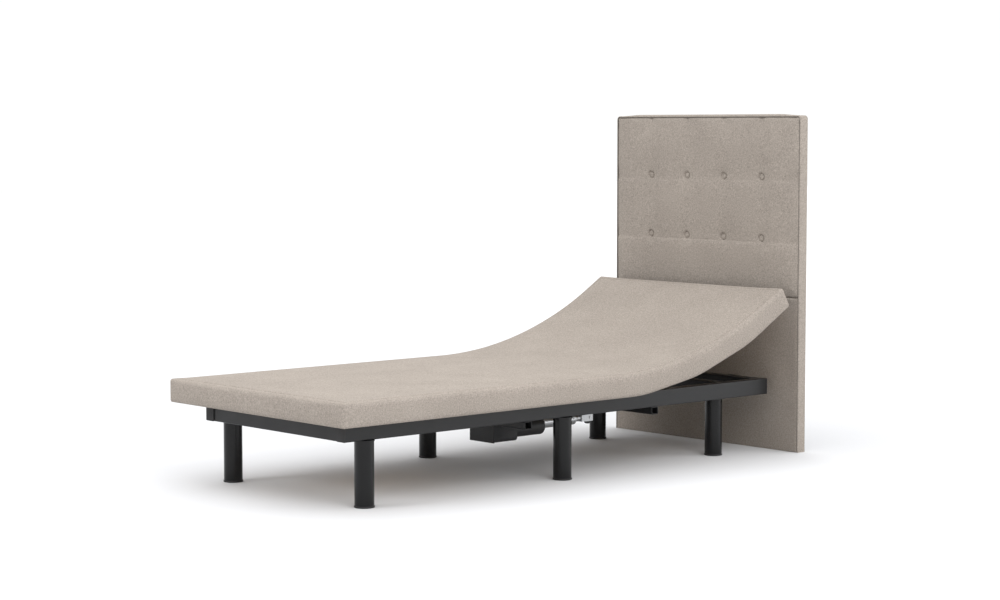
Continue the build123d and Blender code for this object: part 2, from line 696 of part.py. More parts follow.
def lifts():
    back_turn = BACK_ARM_RATIO * REST_BEND
    arm, tip = lift_arm(BACK_PIVOT_Y, 1, BACK_ARM)
    arm = turned(arm, BACK_PIVOT_Y, LIFT_PIVOT_Z, back_turn)
    roller = turned(lift_roller(tip), BACK_PIVOT_Y, LIFT_PIVOT_Z, back_turn)
    frame = [torque_tube(BACK_PIVOT_Y), *both_sides(arm), crank(ACTUATOR_X, BACK_PIVOT_Y)]
    keep("back_lift_frame", *frame)
    keep("back_lift_rollers", *both_sides(roller))
    back_track = track(BACK_HINGE + BACK_TRACK[0], BACK_HINGE + BACK_TRACK[1])
    keep("back_lift_tracks", *[raised(strip, 2) for strip in back_track])

    arm, tip = lift_arm(LEG_PIVOT_Y, -1, LEG_ARM)
    leg_crank = turned(crank(-ACTUATOR_X, LEG_PIVOT_Y), LEG_PIVOT_Y, LIFT_PIVOT_Z, LEG_SWING / 2)
    keep("leg_lift_frame", torque_tube(LEG_PIVOT_Y), *both_sides(arm), leg_crank)
    keep("leg_lift_rollers", *both_sides(lift_roller(tip)))
    keep("thigh_lift_tracks", *track(THIGH_HINGE - THIGH_TRACK[1], THIGH_HINGE - THIGH_TRACK[0]))

    bearings = []
    for y in (BACK_PIVOT_Y, LEG_PIVOT_Y):
        bearings += both_sides(bearing(y))
    keep("lift_bearings", *bearings)


def foot_links():
    """Links parallel to the thigh panel, which keep the foot panel level as it lifts."""
    low = (THIGH_HINGE + LINK_OFFSET_Y, PIVOT_Z + LINK_OFFSET_Z)
    high = (KNEE_HINGE + LINK_OFFSET_Y, PIVOT_Z + LINK_OFFSET_Z)
    x = (LINK_X - LINK_THICKNESS / 2, LINK_X + LINK_THICKNESS / 2)
    bore = LINK_PIN_RADIUS + RUNNING_GAP
    link = rounded_bar(x, low, high, LINK_HEIGHT, [(*low, bore), (*high, bore)])
    keep("foot_links", *both_sides(link))
    pin_start = x[0] - LINK_PIN_OVERHANG
    pin = along_x(LINK_PIN_RADIUS, (pin_start, RAIL_INNER), *low)
    pin += along_x(LINK_PIN_RADIUS + LINK_PIN_COLLAR, (x[1] + LINK_SIDE_GAP, RAIL_INNER), *low)
    keep("foot_link_pins", *both_sides(pin))
    ear_inner = x[1] + EAR_GAP
    ear_y = (high[0] - EAR_LENGTH / 2, high[0] + EAR_LENGTH / 2)
    ear = block((ear_inner, ear_inner + EAR_THICKNESS), ear_y, (high[1] - EAR_DROP, DECK_BOTTOM))
    flange_z = (DECK_BOTTOM - EAR_FLANGE_THICKNESS, DECK_BOTTOM)
    ear += block((ear_inner, ear_inner + EAR_FLANGE), ear_y, flange_z)
    ear += along_x(LINK_PIN_RADIUS, (pin_start, ear_inner), *high)
    ear += along_x(LINK_PIN_RADIUS + EAR_COLLAR, (x[1] + LINK_SIDE_GAP, ear_inner), *high)
    keep("foot_link_brackets", *both_sides(ear))


# Actuators


def actuator(name, side, end, mouth, pin_y):
    """A linear actuator on x = side * ACTUATOR_X, pushing from its housing at end towards its mouth."""
    push = 1 if mouth > end else -1
    x = side * ACTUATOR_X
    front = end + push * HOUSING_LENGTH
    half = HOUSING_HEIGHT / 2
    housing_outer = ACTUATOR_X + MOTOR_OFFSET + MOTOR_RADIUS + MOTOR_WALL
    housing_x = sorted((side * (ACTUATOR_X - HOUSING_INNER), side * housing_outer))
    housing = block(housing_x, sorted((end, front)), (ROD_Z - half, ROD_Z + half))
    housing = fillet(housing.edges().filter_by(Axis.Y), HOUSING_EDGE)
    motor_x = x + side * MOTOR_OFFSET
    motor = along_y(MOTOR_RADIUS, motor_x, sorted((front, front + push * MOTOR_LENGTH)), ROD_Z)
    motor_end = motor.edges().filter_by(GeomType.CIRCLE).sort_by(Axis.Y)[-1 if push > 0 else 0]
    motor = fillet(motor_end, MOTOR_EDGE)
    keep(f"{name}_actuator_housing", housing, motor)
    bore = ROD_RADIUS + ROD_GAP
    tube = along_y(OUTER_TUBE_RADIUS, x, sorted((front, mouth)), ROD_Z)
    tube -= along_y(bore, x, sorted((front + push * TUBE_FLOOR, mouth + push * OVERCUT)), ROD_Z)
    keep(f"{name}_actuator_tube", tube)

    # Push rod with a forked end round the crank, and its cross pin.
    slot = CRANK_THICKNESS / 2 + FORK_SIDE_GAP
    outer = slot + FORK_CHEEK
    slot_z = FORK_HALF + OVERCUT
    fork = block(
        (x - outer, x + outer),
        sorted((pin_y - push * FORK_TAIL, pin_y + push * FORK_HALF)),
        (ROD_Z - FORK_HALF, ROD_Z + FORK_HALF),
    )
    fork -= block(
        (x - slot, x + slot),
        sorted((pin_y - push * FORK_HEEL, pin_y + push * slot_z)),
        (ROD_Z - slot_z, ROD_Z + slot_z),
    )
    pin_x = (x - outer - FORK_PIN_OVERHANG, x + outer + FORK_PIN_OVERHANG)
    fork -= along_x(AXLE_RADIUS, pin_x, pin_y, ROD_Z)
    rod_end = front + push * ROD_START
    rod = fork + along_y(ROD_RADIUS, x, sorted((rod_end, pin_y - push * FORK_TAIL)), ROD_Z)
    keep(f"{name}_push_rod", rod, along_x(AXLE_RADIUS, pin_x, pin_y, ROD_Z))

    # A plate from the motor's crossbar and a hanger from the middle crossmember.
    plate = block(housing_x, sorted((end, end - push * PLATE)), (ROD_Z - half, RAIL_BOTTOM))
    hanger_x = (x - HANGER_WIDTH / 2, x + HANGER_WIDTH / 2)
    hanger_y = (MID_Y - HANGER_THICKNESS / 2, MID_Y + HANGER_THICKNESS / 2)
    hanger = block(hanger_x, hanger_y, (ROD_Z, RAIL_BOTTOM))
    through = (hanger_y[0] - OVERCUT, hanger_y[1] + OVERCUT)
    hanger -= along_y(OUTER_TUBE_RADIUS + WELD_GAP, x, through, ROD_Z)
    return [plate, hanger]


def actuators():
    back_pin = BACK_PIVOT_Y
    leg_pin = LEG_PIVOT_Y + CRANK_LENGTH * tan(radians(LEG_SWING / 2))
    brackets = actuator("back", 1, BACK_MOTOR_END, BACK_TUBE_MOUTH, back_pin)
    brackets += actuator("leg", -1, LEG_MOTOR_END, LEG_TUBE_MOUTH, leg_pin)
    keep("actuator_brackets", *brackets)


def control():
    """The control box under the middle crossmember, with its mains inlet, and the two motor leads."""
    half = BOX_WIDTH / 2
    foot = MID_Y - RAIL_WIDTH / 2
    head = foot + BOX_LENGTH
    bottom = RAIL_BOTTOM - BOX_HEIGHT
    box = block((-half, half), (foot, head), (bottom, RAIL_BOTTOM))
    box = fillet(box.edges().filter_by(Axis.Y).group_by(Axis.Z)[0], BOX_EDGE)
    inlet_z = bottom + INLET_RISE
    inlet_back = head - INLET_DEPTH
    box -= block(
        (INLET_X - INLET_WIDTH / 2, INLET_X + INLET_WIDTH / 2),
        (inlet_back, head + OVERCUT),
        (inlet_z - INLET_HEIGHT / 2, inlet_z + INLET_HEIGHT / 2),
    )
    pin_width, pin_length, pin_height = INLET_PIN
    for step in (-1, 0, 1):
        x = INLET_X + step * INLET_PIN_STEP
        box += block(
            (x - pin_width / 2, x + pin_width / 2),
            (inlet_back, inlet_back + pin_length),
            (inlet_z - pin_height / 2, inlet_z + pin_height / 2),
        )
    keep("control_box", box)

    inner = ACTUATOR_X - HOUSING_INNER
    exit_z = bottom + LEAD_RISE
    back_y = BACK_MOTOR_END + HOUSING_LENGTH / 2
    leg_y = LEG_MOTOR_END - HOUSING_LENGTH / 2
    routes = (
        [(inner, back_y, ROD_Z), (10, back_y, ROD_Z), (10, back_y + 30, exit_z), (10, foot, exit_z)],
        [(-inner, leg_y, ROD_Z), (-15, leg_y, ROD_Z), (-15, leg_y - 60, exit_z), (-15, head, exit_z)],
    )
    leads = []
    for route in routes:
        path = FilletPolyline(*route, radius=LEAD_BEND)
        section = Plane(origin=path @ 0, z_dir=path % 0) * Circle(LEAD_RADIUS)
        leads.append(sweep(section, path=path))
    keep("motor_leads", *leads)


chassis()
legs()
headboard()
deck()
seat_brackets()
flex_ribs()
lifts()
foot_links()
actuators()
control()

os.makedirs("parts", exist_ok=True)
for name, shape in parts.items():
    export_step(shape, f"parts/{name}.step")
print(len(parts), "nodes")
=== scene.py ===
"""Upholstery, finishes and a studio stage for an adjustable bed base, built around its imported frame."""

import json
import math

import bmesh
import bpy
import numpy as np
from bpy.props import FloatProperty, FloatVectorProperty, IntProperty, PointerProperty
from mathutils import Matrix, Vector


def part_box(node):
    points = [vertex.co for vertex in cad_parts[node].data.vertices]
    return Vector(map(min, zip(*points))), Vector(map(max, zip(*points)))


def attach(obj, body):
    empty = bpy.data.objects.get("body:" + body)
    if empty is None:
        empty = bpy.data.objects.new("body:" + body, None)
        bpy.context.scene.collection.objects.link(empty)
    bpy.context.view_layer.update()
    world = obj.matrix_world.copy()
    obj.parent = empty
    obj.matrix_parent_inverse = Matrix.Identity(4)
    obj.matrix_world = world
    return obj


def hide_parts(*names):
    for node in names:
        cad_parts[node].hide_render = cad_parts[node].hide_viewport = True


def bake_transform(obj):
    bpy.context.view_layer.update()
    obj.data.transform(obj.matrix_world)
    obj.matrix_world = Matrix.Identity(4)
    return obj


bl_info = {
    "name": "Adjustable bed base",
    "version": (1, 0, 0),
    "blender": (4, 5, 0),
    "location": "View3D > Sidebar > Bed base",
    "description": "Dresses an adjustable bed base with upholstery, metal finishes and a studio stage",
    "category": "Object",
}

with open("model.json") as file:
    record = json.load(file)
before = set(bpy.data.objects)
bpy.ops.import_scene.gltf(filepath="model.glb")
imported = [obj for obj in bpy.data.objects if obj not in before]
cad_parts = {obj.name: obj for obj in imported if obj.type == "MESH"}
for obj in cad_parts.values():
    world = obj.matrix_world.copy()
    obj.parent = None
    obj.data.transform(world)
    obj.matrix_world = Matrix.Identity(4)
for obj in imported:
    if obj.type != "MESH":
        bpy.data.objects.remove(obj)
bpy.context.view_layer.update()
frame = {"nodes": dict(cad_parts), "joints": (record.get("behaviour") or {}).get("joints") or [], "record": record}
JOINTS = {joint["name"]: joint for joint in frame["joints"]}
BACK_JOINTS = ("back_raise", "back_tilt", "head_tilt")
MM = 0.001


# Places read from the frame


def pivot(joint):
    return Vector(JOINTS[joint]["pos_m"])


def flat_back_hinges():
    """Where the three back hinges lie when the back is flat, as (y, z)."""
    points = [pivot(name) for name in BACK_JOINTS]
    places = [(points[0].y, points[0].z)]
    for before, after in zip(points, points[1:]):
        places.append((places[-1][0] + (after - before).length, points[0].z))
    return places


BACK_HINGES = flat_back_hinges()
REST_BENDS = [math.radians(-JOINTS[name]["range_deg"][0]) for name in BACK_JOINTS]
BEND_REACH = (BACK_HINGES[1][0] - BACK_HINGES[0][0]) / 2
PIVOT_Z = BACK_HINGES[0][1]
THIGH_Y = pivot("leg_raise").y
KNEE_Y = pivot("knee_bend").y
SEAT_LOW, SEAT_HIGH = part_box("seat_pad")
DECK_HALF_WIDTH = SEAT_HIGH.x
DECK_TOP = SEAT_HIGH.z
DECK_BOTTOM = SEAT_LOW.z
DECK_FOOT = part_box("foot_pad")[0].y
HEADBOARD_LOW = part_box("headboard_lower_pad")[0]
HEADBOARD_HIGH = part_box("headboard_upper_pad")[1]
HEADBOARD_FRONT = HEADBOARD_LOW.y
HEADBOARD_BACK = HEADBOARD_HIGH.y
HEADBOARD_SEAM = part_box("headboard_upper_pad")[0].z


def island_centres(node):
    """The middle of each separate solid in a node."""
    mesh = bmesh.new()
    mesh.from_mesh(frame["nodes"][node].data)
    bmesh.ops.remove_doubles(mesh, verts=mesh.verts, dist=1e-6)
    seen = set()
    centres = []
    for start in mesh.verts:
        if start in seen:
            continue
        island = []
        waiting = [start]
        seen.add(start)
        while waiting:
            vert = waiting.pop()
            island.append(vert.co.copy())
            for edge in vert.link_edges:
                other = edge.other_vert(vert)
                if other not in seen:
                    seen.add(other)
                    waiting.append(other)
        low = Vector([min(co[i] for co in island) for i in range(3)])
        high = Vector([max(co[i] for co in island) for i in range(3)])
        centres.append((low + high) / 2)
    mesh.free()
    return centres


BUTTONS = island_centres("headboard_buttons")
BUTTON_ROWS = sorted({round(button.z, 3) for button in BUTTONS})
BUTTON_COLUMNS = sorted({round(button.x, 3) for button in BUTTONS})
LEGS = [f"leg_{row}_{side}" for row in ("foot", "mid", "head") for side in ("left", "right")]


# Sizes of the deck's cover and the spring ribs

LOW_BEND_REACH = 55 * MM
LEG_FOLD_REACH = 80 * MM
COVER_STEP = 12 * MM
HEM_THICKNESS = 0.8 * MM
HEM_EDGE_SHARE = 0.85
HEM_BAND = 3 * MM
SEAM_HALF = 4 * MM
SETTLE_CAP = 3 * MM
FOOT_PIECE_GAP = 300 * MM
RIB_END = 70 * MM
RIB_THICKNESS = 4 * MM
RIB_EASE = 0.8 * MM
RIB_RISE = 0.2 * MM
RIB_STEP = 8 * MM


# Sizes of the headboard's upholstery

HEADBOARD_GAP = 4 * MM
DECK_HEAD = HEADBOARD_FRONT - HEADBOARD_GAP
PANEL_FRONT = HEADBOARD_FRONT + 0.3 * MM
PANEL_INSET = 4 * MM
PANEL_TURN = 7 * MM
PANEL_STEP = 8 * MM
PANEL_LIFT = 1 * MM
PANEL_SEAM_HALF = 0.5 * MM
SEWN_TURN_SHARE = 0.6
POCKET_STEP = 1.6 * MM
CORNER_RADIUS = 13 * MM
BORDER_INSET = 3 * MM
BORDER_BULGE = 5 * MM
BORDER_EDGE = 4 * MM
BORDER_HEM = 20 * MM
BORDER_THICKNESS = 1.5 * MM
BULGE_RUN_OUT = 95 * MM
STITCH_PITCH = 4.4 * MM
STITCH_LENGTH = 3.8 * MM
STITCH_THICKNESS = 1.6 * MM
STITCH_INSET = 2 * MM
STITCH_START = 6 * MM
BUTTON_RADIUS = 11.5 * MM
BUTTON_CLEARANCE = 0.6 * MM
BUTTON_SIDES = 48
BUTTON_PLEATS = 12
POCKET_REACH = 24 * MM
POCKET_WALL = 5.5 * MM
POCKET_SHARE = 0.65
POCKET_SEWN = 3 * MM
HOLLOW_REACH = 42 * MM
ROW_CREASE = 2.5 * MM
ROW_CREASE_ABOVE = 38 * MM
ROW_CREASE_BELOW = 8 * MM
COLUMN_CREASE = 1.1 * MM
COLUMN_CREASE_LOW = 0.5 * MM
COLUMN_CREASE_FADE = 0.7
COLUMN_CREASE_WIDTH = 15 * MM
GATHER_DEPTH = 4.5 * MM
GATHER_WIDTH = 11 * MM
GATHER_DROP = 14 * MM
LINING_INSET = 13 * MM
LINING_STEP = 15 * MM
LINING_THICKNESS = 0.5 * MM
LINING_STAND_OFF = 0.9 * MM
LINING_FOLD = 0.5 * MM
LINING_FOLD_WIDTH = 14 * MM
LINING_RIPPLE = 0.25 * MM
LINING_TAUT_EDGE = 60 * MM
STAPLE_INSET = 7 * MM
STAPLE_PITCH = 62 * MM
STAPLE_LENGTH = 10 * MM
STAPLE_WIRE = 0.7 * MM
STAPLE_STAND_OFF = 1.6 * MM


# Tones of the floor, and between which distances from the bed's middle the near one fades to the far one. The
# darker near tone is painted shade round the bed, which widens the floor's shadow there

FLOOR_NEAR_SHADE = (0.62, 0.625, 0.64)
FLOOR_FAR = (0.8, 0.8, 0.8)
FLOOR_FADE = (1.5, 7.0)


# Settings


class UpholsterySettings(bpy.types.PropertyGroup):
    """Sizes and colours of the fabric pieces"""

    fabric_dark: FloatVectorProperty(
        name="Fabric dark",
        description="Colour of the darker fibres",
        subtype="COLOR",
        default=(0.18, 0.157, 0.137),
        min=0,
        max=1,
    )
    fabric_light: FloatVectorProperty(
        name="Fabric light",
        description="Colour of the lighter fibres",
        subtype="COLOR",
        default=(0.385, 0.341, 0.299),
        min=0,
        max=1,
    )
    edge_radius: FloatProperty(
        name="Deck edge radius",
        description="Rounding of the deck's padded top edge",
        default=9 * MM,
        unit="LENGTH",
    )
    hem_width: FloatProperty(
        name="Hem width",
        description="How far the fabric is folded under the boards",
        default=30 * MM,
        unit="LENGTH",
    )
    seam_inset: FloatProperty(
        name="Seam inset",
        description="How far the top's seam lies in from the deck's edge",
        default=18 * MM,
        unit="LENGTH",
    )
    seam_depth: FloatProperty(
        name="Seam depth",
        description="How deep the top's seam is drawn into the padding",
        default=3.0 * MM,
        unit="LENGTH",
    )
    cover_thickness: FloatProperty(
        name="Cover thickness",
        description="Thickness of the cloth with its backing",
        default=4 * MM,
        unit="LENGTH",
    )
    crown: FloatProperty(
        name="Panel crown",
        description="How far the headboard's padding swells between its seams",
        default=3 * MM,
        unit="LENGTH",
    )
    dimple_depth: FloatProperty(
        name="Dimple depth",
        description="How deep the buttons pull the headboard's cloth in",
        default=9.5 * MM,
        unit="LENGTH",
    )
    pressure: FloatProperty(
        name="Padding pressure",
        description="Push of the padding on the cloth while it settles",
        default=4.0,
    )
    settle_frames: IntProperty(
        name="Settling frames",
        description="Steps of the cloth simulation",
        default=20,
    )


class FinishSettings(bpy.types.PropertyGroup):
    """Colours of the frame's hard finishes"""

    coat_colour: FloatVectorProperty(
        name="Powder coat",
        description="Colour of the coated steel",
        subtype="COLOR",
        default=(0.009, 0.0092, 0.0098),
        min=0,
        max=1,
    )
    enamel_colour: FloatVectorProperty(
        name="Enamel",
        description="Colour of the glossy legs",
        subtype="COLOR",
        default=(0.003, 0.003, 0.0033),
        min=0,
        max=1,
    )
    plastic_colour: FloatVectorProperty(
        name="Plastic",
        description="Colour of the moulded caps, glides and housings",
        subtype="COLOR",
        default=(0.014, 0.014, 0.015),
        min=0,
        max=1,
    )
    zinc_colour: FloatVectorProperty(
        name="Zinc",
        description="Colour of the plated steel",
        subtype="COLOR",
        default=(0.52, 0.53, 0.54),
        min=0,
        max=1,
    )
    wood_colour: FloatVectorProperty(
        name="Plywood",
        description="Colour of the boards",
        subtype="COLOR",
        default=(0.58, 0.42, 0.26),
        min=0,
        max=1,
    )


class StageSettings(bpy.types.PropertyGroup):
    """Camera and light"""

    camera_place: FloatVectorProperty(
        name="Camera place",
        description="Where the camera stands",
        subtype="TRANSLATION",
        unit="LENGTH",
        default=(5.636, -5.079, 1.131),
    )
    azimuth: FloatProperty(
        name="Azimuth",
        description="Heading of the camera, left of the bed's length",
        default=math.radians(48.03),
        unit="ROTATION",
    )
    pitch: FloatProperty(
        name="Pitch",
        description="How far the camera looks down",
        default=math.radians(4.3),
        unit="ROTATION",
    )
    lens: FloatProperty(name="Lens", description="Focal length in millimetres", default=82.07)
    floor_size: FloatProperty(
        name="Floor size",
        description="Side of the floor",
        default=60.0,
        unit="LENGTH",
    )


# Mesh helpers


def link(name, mesh):
    piece = bpy.data.objects.new(name, mesh)
    bpy.context.scene.collection.objects.link(piece)
    return piece


def mesh_piece(name, points, faces, material):
    mesh = bpy.data.meshes.new(name)
    mesh.from_pydata([tuple(map(float, point)) for point in points], [], faces)
    mesh.materials.append(material)
    mesh.update()
    mesh.shade_smooth()
    return link(name, mesh)


def coordinates(piece):
    points = np.zeros(len(piece.data.vertices) * 3, np.float32)
    piece.data.vertices.foreach_get("co", points)
    return points.reshape(-1, 3).astype(float)


def move_to(piece, points):
    piece.data.vertices.foreach_set("co", points.astype(np.float32).ravel())
    piece.data.update()


def apply_modifiers(piece):
    """Leaves the piece with the mesh that its modifiers give."""
    graph = bpy.context.evaluated_depsgraph_get()
    made = bpy.data.meshes.new_from_object(piece.evaluated_get(graph))
    piece.modifiers.clear()
    piece.data = made


def thicken(piece, thickness):
    solid = piece.modifiers.new("Thickness", "SOLIDIFY")
    solid.thickness = thickness
    solid.offset = -1
    solid.use_even_offset = False
    apply_modifiers(piece)
    piece.data.set_sharp_from_angle(angle=math.radians(50))


def wire_bars(name, places, length, wire, material):
    """One piece of short eased bars, each at a place and along the X or the Z axis."""
    shell = bmesh.new()
    for place, axis in places:
        made = bmesh.ops.create_cube(shell, size=1.0)
        size = Vector((length, wire, wire)) if axis == "X" else Vector((wire, wire, length))
        bmesh.ops.scale(shell, vec=size, verts=made["verts"])
        bmesh.ops.translate(shell, vec=place, verts=made["verts"])
    bmesh.ops.bevel(shell, geom=shell.edges[:], offset=wire / 4, segments=2, affect="EDGES", profile=0.5)
    mesh = bpy.data.meshes.new(name)
    shell.to_mesh(mesh)
    shell.free()
    mesh.materials.append(material)
    return link(name, mesh)


def grid_faces(rows, columns):
    """Quads of a grid whose points run along the columns first."""
    return [
        (r * columns + c, r * columns + c + 1, (r + 1) * columns + c + 1, (r + 1) * columns + c)
        for r in range(rows - 1)
        for c in range(columns - 1)
    ]


def spaced(low, high, step):
    """Even places from low to high, about a step apart."""
    return np.linspace(low, high, max(2, round((high - low) / step) + 1))


def smooth_step(t):
    t = np.clip(t, 0, 1)
    return t * t * (3 - 2 * t)


def settle(piece, pinned, upholstery, cap):
    """Lets the cloth settle on its padding. Pinned points stay sewn down, and none moves past the cap."""
    before = coordinates(piece)
    sewn = piece.vertex_groups.new(name="sewn")
    sewn.add([int(index) for index in pinned], 1.0, "REPLACE")
    cloth = piece.modifiers.new("Settle", "CLOTH")
    cloth.settings.vertex_group_mass = sewn.name
    cloth.settings.quality = 5
    cloth.settings.mass = 0.3
    cloth.settings.tension_stiffness = 20
    cloth.settings.compression_stiffness = 20
    cloth.settings.shear_stiffness = 10
    cloth.settings.bending_stiffness = 1.5
    cloth.settings.use_pressure = True
    cloth.settings.uniform_pressure_force = upholstery.pressure
    cloth.settings.effector_weights.gravity = 0
    cloth.collision_settings.use_collision = False
    cloth.point_cache.frame_start = 1
    cloth.point_cache.frame_end = upholstery.settle_frames
    scene = bpy.context.scene
    for step in range(1, upholstery.settle_frames + 1):
        scene.frame_set(step)
    graph = bpy.context.evaluated_depsgraph_get()
    made = piece.evaluated_get(graph).to_mesh()
    after = np.array([vert.co for vert in made.vertices], float)
    piece.evaluated_get(graph).to_mesh_clear()
    piece.modifiers.remove(cloth)
    piece.vertex_groups.remove(sewn)
    scene.frame_set(1)
    move = after - before
    length = np.linalg.norm(move, axis=1, keepdims=True)
    move *= cap * np.tanh(length / cap) / np.maximum(length, 1e-9)
    move_to(piece, before + move)


# Shader helpers


def shader_group(name, inputs, outputs):
    """A shader node group with its input and output nodes. inputs are (name, kind, default)."""
    group = bpy.data.node_groups.new(name, "ShaderNodeTree")
    for label, kind, default in inputs:
        socket = group.interface.new_socket(label, in_out="INPUT", socket_type=kind)
        if default is not None:
            socket.default_value = default
    for label, kind in outputs:
        group.interface.new_socket(label, in_out="OUTPUT", socket_type=kind)
    return group, group.nodes.new("NodeGroupInput"), group.nodes.new("NodeGroupOutput")


def add(tree, kind, **settings):
    """A node with its properties and, for names that are sockets, its input values."""
    node = tree.nodes.new(kind)
    for key, value in settings.items():
        if hasattr(node, key):
            setattr(node, key, value)
        else:
            node.inputs[key.replace("_", " ")].default_value = value
    return node


def noise(tree, vector, scale, detail, roughness=0.5):
    node = add(tree, "ShaderNodeTexNoise", Scale=scale, Detail=detail, Roughness=roughness)
    tree.links.new(vector, node.inputs["Vector"])
    return node.outputs["Fac"]


def math_node(tree, operation, first, second):
    node = add(tree, "ShaderNodeMath", operation=operation)
    for socket, value in zip(node.inputs, (first, second)):
        if isinstance(value, (int, float)):
            socket.default_value = value
        else:
            tree.links.new(value, socket)
    return node.outputs[0]


def ranged(tree, value, low, high, to_low=0.0, to_high=1.0):
    node = add(tree, "ShaderNodeMapRange")
    tree.links.new(value, node.inputs["Value"])
    for label, number in (("From Min", low), ("From Max", high), ("To Min", to_low), ("To Max", to_high)):
        node.inputs[label].default_value = number
    return node.outputs["Result"]


def colour_mix(tree, factor, first, second, blend="MIX"):
    node = add(tree, "ShaderNodeMix", data_type="RGBA", blend_type=blend)
    for socket, value in ((node.inputs[0], factor), (node.inputs[6], first), (node.inputs[7], second)):
        if hasattr(value, "is_linked"):
            tree.links.new(value, socket)
        elif isinstance(value, (int, float)):
            socket.default_value = value
        else:
            socket.default_value = (*value[:3], 1.0)
    return node.outputs[2]


def stretched(tree, vector, scale):
    node = add(tree, "ShaderNodeMapping")
    node.inputs["Scale"].default_value = scale
    tree.links.new(vector, node.inputs["Vector"])
    return node.outputs["Vector"]


def fibre_group():
    """Heathered fibres: flecks of two tones in felted cloth, and the height of its nap."""
    group, enter, leave = shader_group(
        "Heathered fibres",
        [("Vector", "NodeSocketVector", None), ("Fleck Scale", "NodeSocketFloat", 340.0)],
        [("Tone", "NodeSocketFloat"), ("Height", "NodeSocketFloat")],
    )
    vector = enter.outputs["Vector"]
    fleck = add(group, "ShaderNodeTexNoise", Detail=3.0, Roughness=0.7)
    group.links.new(vector, fleck.inputs["Vector"])
    group.links.new(enter.outputs["Fleck Scale"], fleck.inputs["Scale"])
    cluster = noise(group, vector, 190.0, 2.0)
    broad = noise(group, vector, 6.0, 2.0)
    tone = math_node(group, "MULTIPLY", fleck.outputs["Fac"], 0.6)
    tone = math_node(group, "ADD", tone, math_node(group, "MULTIPLY", cluster, 0.3))
    tone = math_node(group, "ADD", tone, math_node(group, "MULTIPLY", broad, 0.10))
    group.links.new(ranged(group, tone, 0.34, 0.66), leave.inputs["Tone"])
    nub = add(group, "ShaderNodeTexVoronoi", Scale=620.0)
    group.links.new(vector, nub.inputs["Vector"])
    nap = noise(group, vector, 1500.0, 2.0)
    height = math_node(group, "ADD", nub.outputs["Distance"], math_node(group, "MULTIPLY", nap, 0.7))
    height = math_node(group, "ADD", height, math_node(group, "MULTIPLY", fleck.outputs["Fac"], 0.6))
    group.links.new(height, leave.inputs["Height"])
    return group


def coat_group():
    """The skin of a sprayed or moulded surface: fine bumps and a slow change of gloss."""
    group, enter, leave = shader_group(
        "Sprayed skin",
        [
            ("Vector", "NodeSocketVector", None),
            ("Grain Scale", "NodeSocketFloat", 900.0),
            ("Roughness Low", "NodeSocketFloat", 0.35),
            ("Roughness High", "NodeSocketFloat", 0.5),
        ],
        [("Roughness", "NodeSocketFloat"), ("Height", "NodeSocketFloat"), ("Dust", "NodeSocketFloat")],
    )
    vector = enter.outputs["Vector"]
    grain = add(group, "ShaderNodeTexNoise", Detail=2.0, Roughness=0.6)
    group.links.new(vector, grain.inputs["Vector"])
    group.links.new(enter.outputs["Grain Scale"], grain.inputs["Scale"])
    group.links.new(grain.outputs["Fac"], leave.inputs["Height"])
    slow = noise(group, vector, 14.0, 3.0)
    gloss = add(group, "ShaderNodeMapRange")
    group.links.new(slow, gloss.inputs["Value"])
    gloss.inputs["From Min"].default_value = 0.35
    gloss.inputs["From Max"].default_value = 0.65
    group.links.new(enter.outputs["Roughness Low"], gloss.inputs["To Min"])
    group.links.new(enter.outputs["Roughness High"], gloss.inputs["To Max"])
    group.links.new(gloss.outputs["Result"], leave.inputs["Roughness"])
    specks = noise(group, vector, 260.0, 4.0, 0.75)
    group.links.new(ranged(group, specks, 0.55, 0.8), leave.inputs["Dust"])
    return group


def grain_group():
    """Long streaks along one axis, for wood figure and drawn or brushed metal."""
    group, enter, leave = shader_group(
        "Drawn streaks",
        [("Vector", "NodeSocketVector", None), ("Contrast", "NodeSocketFloat", 1.0)],
        [("Tone", "NodeSocketFloat"), ("Height", "NodeSocketFloat")],
    )
    fine = noise(group, enter.outputs["Vector"], 1.0, 6.0, 0.65)
    wide = noise(group, enter.outputs["Vector"], 0.18, 3.0)
    broad = math_node(group, "MULTIPLY", wide, 0.4)
    tone = math_node(group, "ADD", math_node(group, "MULTIPLY", fine, 0.6), broad)
    tone = math_node(group, "SUBTRACT", tone, 0.5)
    tone = math_node(group, "MULTIPLY", tone, enter.outputs["Contrast"])
    group.links.new(math_node(group, "ADD", tone, 0.5), leave.inputs["Tone"])
    group.links.new(fine, leave.inputs["Height"])
    return group


GROUPS = {}


def use_group(tree, key, vector, **values):
    """The shared node group in a material, fed with a vector and its own values."""
    makers = {"fibres": fibre_group, "coat": coat_group, "streaks": grain_group}
    if key not in GROUPS:
        GROUPS[key] = makers[key]()
    node = tree.nodes.new("ShaderNodeGroup")
    node.node_tree = GROUPS[key]
    tree.links.new(vector, node.inputs["Vector"])
    for label, value in values.items():
        node.inputs[label.replace("_", " ")].default_value = value
    return node


def new_material(name):
    """A material with its Principled shader and the object's own coordinates."""
    material = bpy.data.materials.get(name)
    if material:
        return material, None, None, None
    material = bpy.data.materials.new(name)
    material.use_nodes = True
    tree = material.node_tree
    shader = tree.nodes["Principled BSDF"]
    place = tree.nodes.new("ShaderNodeTexCoord")
    return material, tree, shader, place.outputs["Object"]


def bump(tree, shader, height, distance, strength=1.0):
    node = add(tree, "ShaderNodeBump", Strength=strength, Distance=distance)
    tree.links.new(height, node.inputs["Height"])
    tree.links.new(node.outputs["Normal"], shader.inputs["Normal"])


